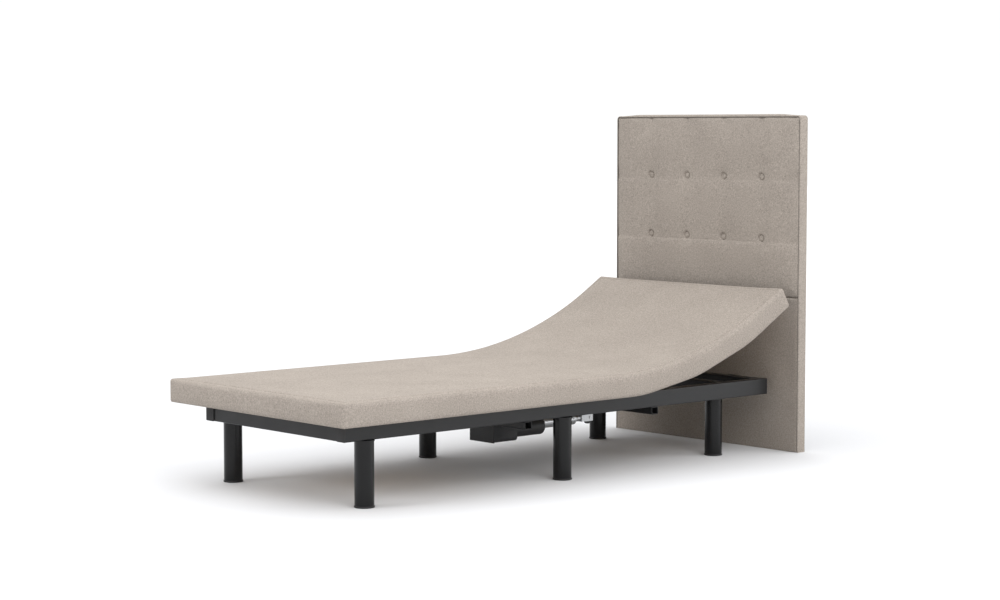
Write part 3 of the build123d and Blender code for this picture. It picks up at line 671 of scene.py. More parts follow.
def fabric_material(upholstery):
    material, tree, shader, place = new_material("Heathered felt")
    if tree is None:
        return material
    fibres = use_group(tree, "fibres", place)
    colour = colour_mix(tree, fibres.outputs["Tone"], upholstery.fabric_dark, upholstery.fabric_light)
    tree.links.new(colour, shader.inputs["Base Color"])
    tree.links.new(ranged(tree, fibres.outputs["Tone"], 0, 1, 0.95, 0.82), shader.inputs["Roughness"])
    shader.inputs["Sheen Weight"].default_value = 0.18
    shader.inputs["Sheen Roughness"].default_value = 0.45
    shader.inputs["Sheen Tint"].default_value = (*upholstery.fabric_light, 1.0)
    shader.inputs["Specular IOR Level"].default_value = 0.2
    bump(tree, shader, fibres.outputs["Height"], 0.4 * MM, 0.5)
    return material


def thread_and_seam_shade_material():
    """Dark sewing thread, twisted from fine strands. Its dark tone is partly painted shade, standing in for the
    shadow in the seam's groove.
    """
    material, tree, shader, place = new_material("Seam thread and shade")
    if tree is None:
        return material
    twist = use_group(tree, "streaks", stretched(tree, place, (900.0, 900.0, 900.0)), Contrast=1.4)
    # Painted shade, in part: the thread is darker than the cloth, so its line also stands in for the seam groove's
    # shadow
    tone = colour_mix(tree, twist.outputs["Tone"], (0.1, 0.087, 0.075), (0.15, 0.13, 0.113))
    tree.links.new(tone, shader.inputs["Base Color"])
    shader.inputs["Roughness"].default_value = 0.8
    bump(tree, shader, twist.outputs["Height"], 0.1 * MM)
    return material


def coated_material(name, colour, grain, low, high, depth, specular=0.4):
    """A sprayed or moulded finish with fine skin and a breath of dust."""
    material, tree, shader, place = new_material(name)
    if tree is None:
        return material
    skin = use_group(tree, "coat", place, Grain_Scale=grain, Roughness_Low=low, Roughness_High=high)
    dusty = [min(1.0, part * 1.2 + 0.003) for part in colour]
    tone = colour_mix(tree, skin.outputs["Dust"], list(colour), dusty)
    tree.links.new(tone, shader.inputs["Base Color"])
    tree.links.new(skin.outputs["Roughness"], shader.inputs["Roughness"])
    shader.inputs["Specular IOR Level"].default_value = specular
    bump(tree, shader, skin.outputs["Height"], depth)
    return material


def metal_material(name, colour, streak_scale, low, high):
    """Plated or drawn metal with streaks along one axis."""
    material, tree, shader, place = new_material(name)
    if tree is None:
        return material
    streaks = use_group(tree, "streaks", stretched(tree, place, streak_scale), Contrast=1.6)
    darker = [part * 0.72 for part in colour]
    tone = streaks.outputs["Tone"]
    tree.links.new(colour_mix(tree, tone, darker, list(colour)), shader.inputs["Base Color"])
    tree.links.new(ranged(tree, tone, 0.2, 0.8, low, high), shader.inputs["Roughness"])
    shader.inputs["Metallic"].default_value = 1.0
    bump(tree, shader, streaks.outputs["Height"], 0.05 * MM)
    return material


def plywood_material(finishes, name, hinge, tilt):
    """Birch plywood whose glued layers follow a board tilted about a hinge line."""
    material, tree, shader, place = new_material(name)
    if tree is None:
        return material
    level = add(tree, "ShaderNodeVectorRotate", rotation_type="X_AXIS", Center=(0, *hinge), Angle=-tilt)
    tree.links.new(place, level.inputs["Vector"])
    along = level.outputs["Vector"]
    figure = use_group(tree, "streaks", stretched(tree, along, (90.0, 5.0, 90.0)), Contrast=1.8)
    pale = [min(1.0, part * 1.25) for part in finishes.wood_colour]
    deep = [part * 0.72 for part in finishes.wood_colour]
    face = colour_mix(tree, figure.outputs["Tone"], deep, pale)
    split = add(tree, "ShaderNodeSeparateXYZ")
    tree.links.new(along, split.inputs["Vector"])
    layer = math_node(tree, "MULTIPLY", split.outputs["Z"], 2 * math.pi / (3.2 * MM))
    layer = ranged(tree, math_node(tree, "SINE", layer, 0.0), -0.2, 0.2)
    facing = add(tree, "ShaderNodeNewGeometry")
    turned = add(tree, "ShaderNodeVectorRotate", rotation_type="X_AXIS", Angle=-tilt)
    tree.links.new(facing.outputs["Normal"], turned.inputs["Vector"])
    upright = add(tree, "ShaderNodeSeparateXYZ")
    tree.links.new(turned.outputs["Vector"], upright.inputs["Vector"])
    edge = math_node(tree, "LESS_THAN", math_node(tree, "ABSOLUTE", upright.outputs["Z"], 0.0), 0.5)
    layers = colour_mix(tree, layer, [part * 0.5 for part in deep], pale)
    tree.links.new(colour_mix(tree, edge, face, layers), shader.inputs["Base Color"])
    tree.links.new(ranged(tree, figure.outputs["Tone"], 0, 1, 0.75, 0.55), shader.inputs["Roughness"])
    bump(tree, shader, figure.outputs["Height"], 0.15 * MM)
    return material


def lining_material():
    """Thin spun cloth with its pressed dots."""
    material, tree, shader, place = new_material("Spun lining")
    if tree is None:
        return material
    fibres = use_group(tree, "fibres", place, Fleck_Scale=260.0)
    dots = add(tree, "ShaderNodeTexVoronoi", Scale=420.0, Randomness=0.15)
    tree.links.new(place, dots.inputs["Vector"])
    pressed = ranged(tree, dots.outputs["Distance"], 0.25, 0.4)
    tone = colour_mix(tree, fibres.outputs["Tone"], (0.012, 0.012, 0.013), (0.035, 0.035, 0.037))
    tree.links.new(tone, shader.inputs["Base Color"])
    shader.inputs["Roughness"].default_value = 0.85
    shader.inputs["Sheen Weight"].default_value = 0.1
    bump(tree, shader, pressed, 0.3 * MM)
    return material


def zinc_material(finishes):
    return metal_material("Bright zinc", finishes.zinc_colour, (300.0, 300.0, 300.0), 0.28, 0.46)


# Deck cover


def deck_at_rest(points):
    """Carries points of the flat deck to the raised back, in a curve that is wider on top than below."""
    along, height = points[:, 1], points[:, 2]
    share = np.clip((height - DECK_BOTTOM) / (DECK_TOP - DECK_BOTTOM), 0, 1)
    reach = LOW_BEND_REACH + (BEND_REACH - LOW_BEND_REACH) * share
    last = BACK_HINGES[0][0] - reach
    y = np.minimum(along, last)
    z = np.full_like(y, PIVOT_Z)
    angle = np.zeros_like(y)
    for (hinge, _), bend in zip(BACK_HINGES, REST_BENDS):
        straight = np.clip(along, last, hinge - reach) - last
        y += straight * np.cos(angle)
        z += straight * np.sin(angle)
        turn = bend * np.clip((along - hinge + reach) / (2 * reach), 0, 1)
        radius = reach / math.tan(bend / 2)
        y += radius * (np.sin(angle + turn) - np.sin(angle))
        z += radius * (np.cos(angle) - np.cos(angle + turn))
        angle += turn
        last = hinge + reach
    tail = np.maximum(along - last, 0)
    offset = height - PIVOT_Z
    y += tail * np.cos(angle) - offset * np.sin(angle)
    z += tail * np.sin(angle) + offset * np.cos(angle)
    return np.stack([points[:, 0], y, z], 1)


def rest_point(y, z=PIVOT_Z):
    return Vector(deck_at_rest(np.array([[0.0, y, z]]))[0])


def cover_spans():
    """Each piece of the deck's cover: name, head end, bodies it follows, fold line, reach and pad."""
    lumbar, back, head = (place[0] for place in BACK_HINGES)
    foot_split = KNEE_Y - FOOT_PIECE_GAP
    thigh_split = (KNEE_Y + THIGH_Y) / 2
    return (
        ("deck_cover_foot", foot_split, ("foot",), None, None, "foot_pad"),
        ("deck_cover_knee", thigh_split, ("foot", "thigh"), KNEE_Y, LEG_FOLD_REACH, "thigh_pad"),
        ("deck_cover_seat", lumbar - BEND_REACH, ("thigh", "chassis"), THIGH_Y, LEG_FOLD_REACH, "seat_pad"),
        ("deck_cover_lumbar", lumbar + BEND_REACH, ("chassis", "lumbar"), lumbar, BEND_REACH, "lumbar_pad"),
        ("deck_cover_back", back + BEND_REACH, ("lumbar", "back"), back, BEND_REACH, "back_pad"),
        ("deck_cover_shoulder", head + BEND_REACH, ("back", "head"), head, BEND_REACH, None),
        ("deck_cover_head", DECK_HEAD, ("head",), None, None, "head_pad"),
    )


def cover_lines(low, high, insets, splits):
    """Grid lines from low to high: the insets from both ends, each split, and even steps between."""
    stops = [low + insets[-1], *splits, high - insets[-1]]
    lines = [low + inset for inset in insets[:-1]]
    for start, end in zip(stops, stops[1:]):
        lines.extend(spaced(start, end, COVER_STEP)[:-1])
    lines.extend(high - inset for inset in reversed(insets))
    return np.array(lines)


def cover_shell(upholstery):
    """The flat cover as one open shell: top, four sides and a hem folded under, with sharp edges."""
    hem_z = DECK_BOTTOM - HEM_THICKNESS
    half = DECK_HALF_WIDTH
    seam = upholstery.seam_inset
    insets = [0, seam - SEAM_HALF, seam, seam + SEAM_HALF, upholstery.hem_width]
    xs = cover_lines(-half, half, insets, [])
    ys = cover_lines(DECK_FOOT, DECK_HEAD, insets, [span[1] for span in cover_spans()[:-1]])
    zs = spaced(hem_z, DECK_TOP, COVER_STEP)
    index = {}
    points = []
    faces = []

    def at(x, y, z):
        key = (round(x, 6), round(y, 6), round(z, 6))
        if key not in index:
            index[key] = len(points)
            points.append((x, y, z))
        return index[key]

    def sheet(place, firsts, seconds):
        for a, b in zip(firsts, firsts[1:]):
            for c, d in zip(seconds, seconds[1:]):
                faces.append([at(*place(a, c)), at(*place(b, c)), at(*place(b, d)), at(*place(a, d))])

    sheet(lambda x, y: (x, y, DECK_TOP), xs, ys)
    for side in (-1, 1):
        sheet(lambda y, z: (side * half, y, z), ys, zs)
        sheet(lambda inset, y: (side * (half - inset), y, hem_z), insets, ys)
    inner = xs[len(insets) - 1 : 1 - len(insets)]
    for end, inward in ((DECK_FOOT, 1), (DECK_HEAD, -1)):
        sheet(lambda x, z: (x, end, z), xs, zs)
        sheet(lambda x, inset: (x, end + inward * inset, hem_z), inner, insets)
    return points, faces


def top_seam(piece, upholstery):
    """The points of the seam between the top panel and the padded edge."""
    points = coordinates(piece)
    inset = np.minimum(DECK_HALF_WIDTH - np.abs(points[:, 0]), points[:, 1] - DECK_FOOT)
    inset = np.minimum(inset, DECK_HEAD - points[:, 1])
    on_top = points[:, 2] > DECK_TOP - MM / 2
    return np.where(on_top & (np.abs(inset - upholstery.seam_inset) < SEAM_HALF / 2))[0]


def held_edges(piece, upholstery):
    """The points of the hem and of the four upright corners, which the boards and corner seams hold."""
    points = coordinates(piece)
    corner = upholstery.edge_radius + MM
    beside = np.abs(points[:, 0]) > DECK_HALF_WIDTH - corner
    at_end = np.minimum(points[:, 1] - DECK_FOOT, DECK_HEAD - points[:, 1]) < corner
    hem = points[:, 2] < DECK_BOTTOM + HEM_BAND
    return np.where(hem | (beside & at_end))[0]


def sink(piece, chosen, depth):
    points = coordinates(piece)
    points[chosen, 2] -= depth
    move_to(piece, points)


def round_edges(piece, radius, lower):
    """Rounds the shell's sharp edges: the padded top and corners by the radius, the hem's fold by less."""
    shell = bmesh.new()
    shell.from_mesh(piece.data)
    bmesh.ops.recalc_face_normals(shell, faces=shell.faces)
    if max(shell.faces, key=lambda face: face.calc_center_median().z).normal.z < 0:
        bmesh.ops.reverse_faces(shell, faces=shell.faces)
    weight = shell.edges.layers.float.new("bevel_weight_edge")
    sharp = [edge for edge in shell.edges if len(edge.link_faces) == 2 and edge.calc_face_angle() > 1.0]
    for edge in sharp:
        low = all(vert.co.z < DECK_BOTTOM for vert in edge.verts)
        edge[weight] = lower if low else 1.0
    shell.to_mesh(piece.data)
    shell.free()
    rounding = piece.modifiers.new("Rounding", "BEVEL")
    rounding.limit_method = "WEIGHT"
    rounding.width = radius
    rounding.segments = 4
    rounding.use_clamp_overlap = False
    apply_modifiers(piece)


def split_cover(whole, material, spans):
    """Cuts the shaped shell into pieces by where each face lies along the flat deck."""
    flat = coordinates(whole)
    rest = deck_at_rest(flat)
    pieces = []
    low = -math.inf
    for name, high, *_ in spans:
        index = {}
        faces = []
        for face in whole.data.polygons:
            if low <= np.mean([flat[v][1] for v in face.vertices]) < high:
                faces.append([index.setdefault(v, len(index)) for v in face.vertices])
        points = [rest[v] for v in index]
        pieces.append(mesh_piece(name, points, faces, material))
        low = high
    return pieces


class BED_OT_deck_cover(bpy.types.Operator):
    """Makes the padded fabric cover of the deck in pieces cut at its folds, attaching each piece that lies on one
    body to it
    """

    bl_idname = "bed.deck_cover"
    bl_label = "Deck cover"

    def execute(self, context):
        upholstery = context.scene.bed_upholstery
        fabric = fabric_material(upholstery)
        points, faces = cover_shell(upholstery)
        whole = mesh_piece("deck_cover_whole", points, faces, fabric)
        round_edges(whole, upholstery.edge_radius, HEM_EDGE_SHARE)
        seam = top_seam(whole, upholstery)
        settle(whole, [*seam, *held_edges(whole, upholstery)], upholstery, SETTLE_CAP)
        sink(whole, seam, upholstery.seam_depth)
        spans = cover_spans()
        pieces = split_cover(whole, fabric, spans)
        bpy.data.objects.remove(whole)
        for piece, (_, _, bodies, fold, reach, pad) in zip(pieces, spans):
            thicken(piece, upholstery.cover_thickness)
            if len(bodies) == 1:
                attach(piece, bodies[0])
            else:
                rest_point(fold - reach)
                rest_point(fold + reach)
                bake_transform(piece)
            if pad:
                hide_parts(pad)
        return {"FINISHED"}


# Headboard


def panel_lines(low, high, dense_at):
    """Grid lines that crowd towards both edges, where the cloth turns in, and round the buttons."""
    edge = np.array([0, 0.12, 0.3, 0.55, 1.0]) * PANEL_TURN
    lines = [low + edge]
    start = low + PANEL_TURN
    for middle in dense_at:
        lines.append(spaced(start, middle - POCKET_REACH, PANEL_STEP)[1:-1])
        lines.append(spaced(middle - POCKET_REACH, middle + POCKET_REACH, POCKET_STEP))
        start = middle + POCKET_REACH
    lines.append(spaced(start, high - PANEL_TURN, PANEL_STEP)[1:-1])
    lines.append(high - edge[::-1])
    return np.concatenate(lines)


def panel_depth(x, z, box, crown, tucked):
    """How far back of the headboard's front a panel lies. tucked says which of its edges turn in."""
    x_low, x_high, z_low, z_high = box
    gaps = (x - x_low, x_high - x, z - z_low, z_high - z)
    inset = np.full_like(x, np.inf)
    for gap, turns_in in zip(gaps, tucked):
        if turns_in:
            inset = np.minimum(inset, gap)
    inside = np.clip(PANEL_TURN - inset, 0, PANEL_TURN)
    turn = PANEL_TURN - np.sqrt(np.maximum(PANEL_TURN**2 - inside**2, 0))
    across = (x - (x_low + x_high) / 2) / (x_high - x_low) * 2
    upward = (z - (z_low + z_high) / 2) / (z_high - z_low) * 2
    swell = (1 - across**6) * (1 - upward**6)
    return turn - crown * np.maximum(swell, 0)


def round_corners(x, z, box, radius):
    """Draws the two upper corners of a panel's grid in to a round."""
    beside = np.maximum(radius - np.minimum(x - box[0], box[1] - x), 0)
    above = np.maximum(radius - (box[3] - z), 0)
    shrink = 1 - np.maximum(beside, above) / np.maximum(np.hypot(beside, above), 1e-9)
    shrink[np.minimum(beside, above) == 0] = 0
    side = np.sign(x - (box[0] + box[1]) / 2)
    return x - side * beside * shrink, z - above * shrink


def tufting(x, z, depth, top):
    """How far the buttons and the creases that run between them draw the cloth in."""
    creases = np.zeros_like(x)
    for row in BUTTON_ROWS:
        fall = z - (row - BUTTON_RADIUS)
        width = np.where(fall > 0, ROW_CREASE_ABOVE, ROW_CREASE_BELOW)
        creases = np.maximum(creases, ROW_CREASE * np.exp(-((fall / width) ** 2)))
    for column in BUTTON_COLUMNS:
        above = np.clip((z - BUTTON_ROWS[-1]) / (top - BUTTON_ROWS[-1]), 0, 1)
        fading = COLUMN_CREASE * (1 - COLUMN_CREASE_FADE * above)
        pull = np.where(z > BUTTON_ROWS[0], fading, COLUMN_CREASE_LOW)
        creases = np.maximum(creases, pull * np.exp(-(((x - column) / COLUMN_CREASE_WIDTH) ** 2)))
    pull_in = creases
    for button in BUTTONS:
        away = np.hypot(x - button.x, z - button.z)
        hollow = (1 - POCKET_SHARE) * depth * np.exp(-((away / HOLLOW_REACH) ** 2))
        pocket = POCKET_SHARE * depth * (1 - smooth_step((away - BUTTON_RADIUS) / POCKET_WALL))
        pull_in = np.maximum(pull_in, hollow + pocket)
    for column in BUTTON_COLUMNS:
        gather = ((x - column) / GATHER_WIDTH) ** 2 + ((top - z) / GATHER_DROP) ** 2
        pull_in = pull_in + GATHER_DEPTH * np.exp(-gather)
    return pull_in


class BED_OT_headboard(bpy.types.Operator):
    """Makes the headboard's buttoned upper panel, plain lower panel, border strip and seam stitches, whose dark
    thread is partly painted seam shade
    """

    bl_idname = "bed.headboard"
    bl_label = "Headboard upholstery"

    def execute(self, context):
        upholstery = context.scene.bed_upholstery
        fabric = fabric_material(upholstery)
        left = HEADBOARD_LOW.x + PANEL_INSET
        right = HEADBOARD_HIGH.x - PANEL_INSET
        top = HEADBOARD_HIGH.z - PANEL_INSET
        upper = (left, right, HEADBOARD_SEAM + PANEL_SEAM_HALF, top)
        lower = (left, right, HEADBOARD_LOW.z + PANEL_LIFT, HEADBOARD_SEAM - PANEL_SEAM_HALF)
        all_edges = (True, True, True, True)
        not_below = (True, True, False, True)
        tufted = self.panel("headboard_tufted_panel", upper, all_edges, upholstery, fabric, True)
        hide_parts("headboard_upper_pad")
        plain = self.panel("headboard_plain_panel", lower, not_below, upholstery, fabric, False)
        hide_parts("headboard_lower_pad")
        self.border(fabric)
        self.stitches(right - left, top)
        return {"FINISHED"}

    def panel(self, name, box, tucked, upholstery, fabric, buttoned):
        xs = panel_lines(box[0], box[1], BUTTON_COLUMNS if buttoned else [])
        zs = panel_lines(box[2], box[3], BUTTON_ROWS if buttoned else [])
        x, z = (grid.ravel() for grid in np.meshgrid(xs, zs))
        crown = upholstery.crown if buttoned else 0.0
        depth = panel_depth(x, z, box, crown, tucked)
        if buttoned:
            depth = depth + tufting(x, z, upholstery.dimple_depth, box[3])
            x, z = round_corners(x, z, box, CORNER_RADIUS - PANEL_INSET)
        y = PANEL_FRONT + depth
        piece = mesh_piece(name, np.stack([x, y, z], 1), grid_faces(len(zs), len(xs)), fabric)
        pinned = depth > PANEL_TURN * SEWN_TURN_SHARE
        for button in BUTTONS:
            pinned |= np.hypot(x - button.x, z - button.z) < BUTTON_RADIUS + POCKET_SEWN
        if buttoned:
            settle(piece, np.where(pinned)[0], upholstery, SETTLE_CAP)
        thicken(piece, upholstery.cover_thickness)
        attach(piece, "chassis")
        return piece

    def border(self, fabric):
        """The strip that wraps the two sides and the top, from the back's hem to the front seam."""
        front, back, edge = PANEL_FRONT, HEADBOARD_BACK, BORDER_EDGE
        profile = [(BORDER_HEM, back), (BORDER_HEM / 2, back)]
        quarter = np.linspace(0, math.pi / 2, 5)
        profile += [(edge - edge * math.sin(a), back - edge + edge * math.cos(a)) for a in quarter]
        profile += [(0, y) for y in np.linspace(back - edge, front + edge, 6)[1:-1]]
        profile += [(edge - edge * math.cos(a), front + edge - edge * math.sin(a)) for a in quarter]
        profile += [(BORDER_INSET, front + 1.2 * MM), (BORDER_INSET + 0.4 * MM, front + PANEL_TURN)]
        points = []
        for inset, y in profile:
            bulge = 0.0
            if inset < edge:
                bulge = BORDER_BULGE * math.sin(math.pi * (back - y) / (back - front)) ** 0.6
            points += [(x, y, z) for x, z in self.border_path(inset, bulge)]
        columns = len(points) // len(profile)
        faces = grid_faces(len(profile), columns)
        piece = mesh_piece("headboard_border", points, [face[::-1] for face in faces], fabric)
        thicken(piece, BORDER_THICKNESS)
        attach(piece, "chassis")

    def stitches(self, width, top):
        """The dark thread that closes the seam round the front. Its dark line is partly real stitching and partly
        painted shade for the seam's groove.
        """
        half = width / 2 - STITCH_INSET
        y = HEADBOARD_FRONT + STITCH_THICKNESS
        sides = spaced(HEADBOARD_LOW.z + STITCH_START, top - CORNER_RADIUS, STITCH_PITCH)
        across = spaced(-half + CORNER_RADIUS, half - CORNER_RADIUS, STITCH_PITCH)
        places = [((side * half, y, z), "Z") for side in (-1, 1) for z in sides]
        places += [((x, y, top - STITCH_INSET), "X") for x in across]
        thread = thread_and_seam_shade_material()
        piece = wire_bars("headboard_seam_stitches_and_shade", places, STITCH_LENGTH, STITCH_THICKNESS, thread)
        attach(piece, "chassis")

    def border_path(self, inset, bulge):
        """Points up one side, over the top and down the other, inset from the outline, the top bulging."""
        half = HEADBOARD_HIGH.x - inset
        top = HEADBOARD_HIGH.z - inset
        corner = max(CORNER_RADIUS - inset, 0.6 * MM)
        room = CORNER_RADIUS + 2 * MM
        rise = spaced(HEADBOARD_LOW.z, HEADBOARD_HIGH.z - room, 20 * MM)
        span = spaced(-HEADBOARD_HIGH.x + room, HEADBOARD_HIGH.x - room, 12 * MM)
        fan = np.linspace(0, math.pi / 2, 7)[1:-1]
        swell = bulge * smooth_step((span[-1] - np.abs(span)) / BULGE_RUN_OUT)
        path = [(-half, z) for z in rise]
        path += [(-half + corner * (1 - math.cos(a)), top - corner * (1 - math.sin(a))) for a in fan]
        path += [(x, top + lift) for x, lift in zip(span, swell)]
        path += [(half - corner * (1 - math.sin(a)), top - corner * (1 - math.cos(a))) for a in fan]
        path += [(half, z) for z in rise[::-1]]
        return path


class BED_OT_buttons(bpy.types.Operator):
    """Makes the headboard's fabric-covered buttons"""

    bl_idname = "bed.buttons"
    bl_label = "Covered buttons"

    def execute(self, context):
        upholstery = context.scene.bed_upholstery
        low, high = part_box("headboard_buttons")
        radius = BUTTON_RADIUS - BUTTON_CLEARANCE
        turns = BUTTON_SIDES
        back = high.y
        front = low.y - 1.0 * MM
        shoulder = back - 3 * MM
        dome = np.radians((12, 25, 40, 55, 70, 82))
        profile = [(0.86, back), (0.97, back - 1.5 * MM), (1.0, shoulder)]
        profile += [(math.cos(a), shoulder - (shoulder - front) * math.sin(a)) for a in dome]
        points = []
        faces = []
        for button in BUTTONS:
            start = len(points)
            for share, y in profile:
                for step in range(turns):
                    angle = 2 * math.pi * step / turns
                    pleat = 1 + 0.012 * math.cos(BUTTON_PLEATS * angle) * share**3
                    x = button.x + radius * share * pleat * math.cos(angle)
                    z = button.z + radius * share * pleat * math.sin(angle)
                    points.append((x, y, z))
            for ring in range(len(profile) - 1):
                for step in range(turns):
                    near = start + ring * turns
                    after = (step + 1) % turns
                    faces.append((near + step, near + after, near + turns + after, near + turns + step))
            faces.append(tuple(start + step for step in reversed(range(turns))))
            last = start + (len(profile) - 1) * turns
            faces.append(tuple(last + step for step in range(turns)))
        piece = mesh_piece("headboard_covered_buttons", points, faces, fabric_material(upholstery))
        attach(piece, "chassis")
        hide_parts("headboard_buttons")
        return {"FINISHED"}


class BED_OT_lining(bpy.types.Operator):
    """Makes the lining stapled over the headboard's back"""

    bl_idname = "bed.lining"
    bl_label = "Headboard lining"

    def execute(self, context):
        half = HEADBOARD_HIGH.x - LINING_INSET
        low = HEADBOARD_LOW.z + LINING_INSET
        top = HEADBOARD_HIGH.z - LINING_INSET
        xs = spaced(-half, half, LINING_STEP)
        zs = spaced(low, top, LINING_STEP)
        x, z = (grid.ravel() for grid in np.meshgrid(xs, zs))
        edge = np.minimum(np.minimum(x + half, half - x), np.minimum(z - low, top - z))
        fold = LINING_FOLD * (1 - smooth_step(edge / LINING_FOLD_WIDTH))
        ripple = LINING_RIPPLE * np.sin(x * 95) * np.sin(z * 61 + 2 * np.sin(x * 9))
        y = HEADBOARD_BACK + LINING_STAND_OFF + fold + ripple * smooth_step(edge / LINING_TAUT_EDGE)
        faces = [face[::-1] for face in grid_faces(len(zs), len(xs))]
        piece = mesh_piece("headboard_lining", np.stack([x, y, z], 1), faces, lining_material())
        thicken(piece, LINING_THICKNESS)
        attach(piece, "chassis")
        self.staples(context, half - STAPLE_INSET, low + STAPLE_INSET, top - STAPLE_INSET)
        return {"FINISHED"}

    def staples(self, context, half, low, top):
        """Wire staples along the lining's folded edge."""
        y = HEADBOARD_BACK + STAPLE_STAND_OFF
        places = [((x, y, z), "X") for z in (low, top) for x in spaced(-half, half, STAPLE_PITCH)]
        places += [((x, y, z), "Z") for x in (-half, half) for z in spaced(low, top, STAPLE_PITCH)[1:-1]]
        steel = zinc_material(context.scene.bed_finishes)
        piece = wire_bars("headboard_staples", places, STAPLE_LENGTH, STAPLE_WIRE, steel)
        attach(piece, "chassis")


class BED_OT_spring_ribs(bpy.types.Operator):
    """Makes the spring ribs under the back, in stretches, each laid round one fold of the raised back"""

    bl_idname = "bed.spring_ribs"
    bl_label = "Spring ribs"

    def execute(self, context):
        finishes = context.scene.bed_finishes
        low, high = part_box("flex_ribs")
        centres = island_centres("flex_ribs")
        width = high.x - max(centre.x for centre in centres)
        steel = zinc_material(finishes)
        starts = [hinge[0] - BEND_REACH for hinge in BACK_HINGES]
        ends = [hinge[0] + BEND_REACH for hinge in BACK_HINGES]
        starts[0] = low.y
        ends[-1] = HEADBOARD_FRONT - RIB_END
        bodies = ("chassis", "lumbar", "back", "head")
        for number, (start, end) in enumerate(zip(starts, ends)):
            points = []
            faces = []
            for centre in centres:
                self.strip(points, faces, centre.x, width, start, end)
            points = deck_at_rest(np.array(points))
            piece = mesh_piece(f"spring_ribs_{bodies[number + 1]}", points, faces, steel)
            piece.data.shade_flat()
            fold = BACK_HINGES[number][0]
            near = rest_point(fold - BEND_REACH)
            far = rest_point(fold + BEND_REACH)
            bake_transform(piece)
            if number == 0:
                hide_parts("flex_ribs")
        return {"FINISHED"}

    def strip(self, points, faces, x, half, start, end):
        """One flat strip with eased edges, as rings along Y."""
        ease = RIB_EASE
        low = DECK_BOTTOM + RIB_RISE
        top = low + RIB_THICKNESS
        section = [
            (x - half + ease, low), (x + half - ease, low), (x + half, low + ease), (x + half, top - ease),
            (x + half - ease, top), (x - half + ease, top), (x - half, top - ease), (x - half, low + ease),
        ]
        rings = spaced(start, end, RIB_STEP)
        first = len(points)
        count = len(section)
        for y in rings:
            points += [(px, y, pz) for px, pz in section]
        for ring in range(len(rings) - 1):
            for step in range(count):
                near = first + ring * count
                after = (step + 1) % count
                faces.append((near + step, near + count + step, near + count + after, near + after))
        faces.append(tuple(first + step for step in range(count)))
        last = first + (len(rings) - 1) * count
        faces.append(tuple(last + step for step in reversed(range(count))))


class BED_OT_finishes(bpy.types.Operator):
    """Gives each carried-over part its finish"""

    bl_idname = "bed.finishes"
    bl_label = "Finishes"

    def execute(self, context):
        finishes = context.scene.bed_finishes
        enamel = coated_material("Black enamel", finishes.enamel_colour, 900.0, 0.2, 0.26, 0.01 * MM, 0.3)
        by_slot = {
            "black_steel": coated_material(
                "Black powder coat", finishes.coat_colour, 900.0, 0.32, 0.4, 0.02 * MM, 0.32
            ),
            "zinc_steel": zinc_material(finishes),
            "black_plastic": coated_material(
                "Textured plastic", finishes.plastic_colour, 1400.0, 0.5, 0.62, 0.1 * MM, 0.4
            ),
            "nylon": coated_material("Natural nylon", (0.7, 0.69, 0.64), 500.0, 0.4, 0.5, 0.03 * MM),
            "tube_aluminium": metal_material(
                "Drawn aluminium", (0.55, 0.56, 0.57), (700.0, 14.0, 700.0), 0.3, 0.45
            ),
            "lead_rubber": coated_material(
                "Cable sheath", (0.012, 0.012, 0.012), 700.0, 0.55, 0.7, 0.05 * MM
            ),
        }
        tilts = {"lumbar": 1, "back": 2, "head": 3}
        for part in frame["record"]["subparts"]:
            node = frame["nodes"][part["node"]]
            slot = part["material_slot"]
            if slot == "plywood":
                level = tilts.get(part["node"].split("_")[0], 0)
                if part["node"] == "headboard_core":
                    level = 0
                finish = self.board_finish(finishes, level)
            elif part["node"] in LEGS:
                finish = enamel
            elif slot in by_slot:
                finish = by_slot[slot]
            else:
                continue
            node.data.materials.clear()
            node.data.materials.append(finish)
        return {"FINISHED"}

    def board_finish(self, finishes, level):
        """Plywood for a board carried by that many back hinges."""
        tilt = sum(REST_BENDS[:level])
        joint = pivot(BACK_JOINTS[max(level - 1, 0)])
        return plywood_material(finishes, f"Birch plywood {level}", (joint.y, joint.z), tilt)


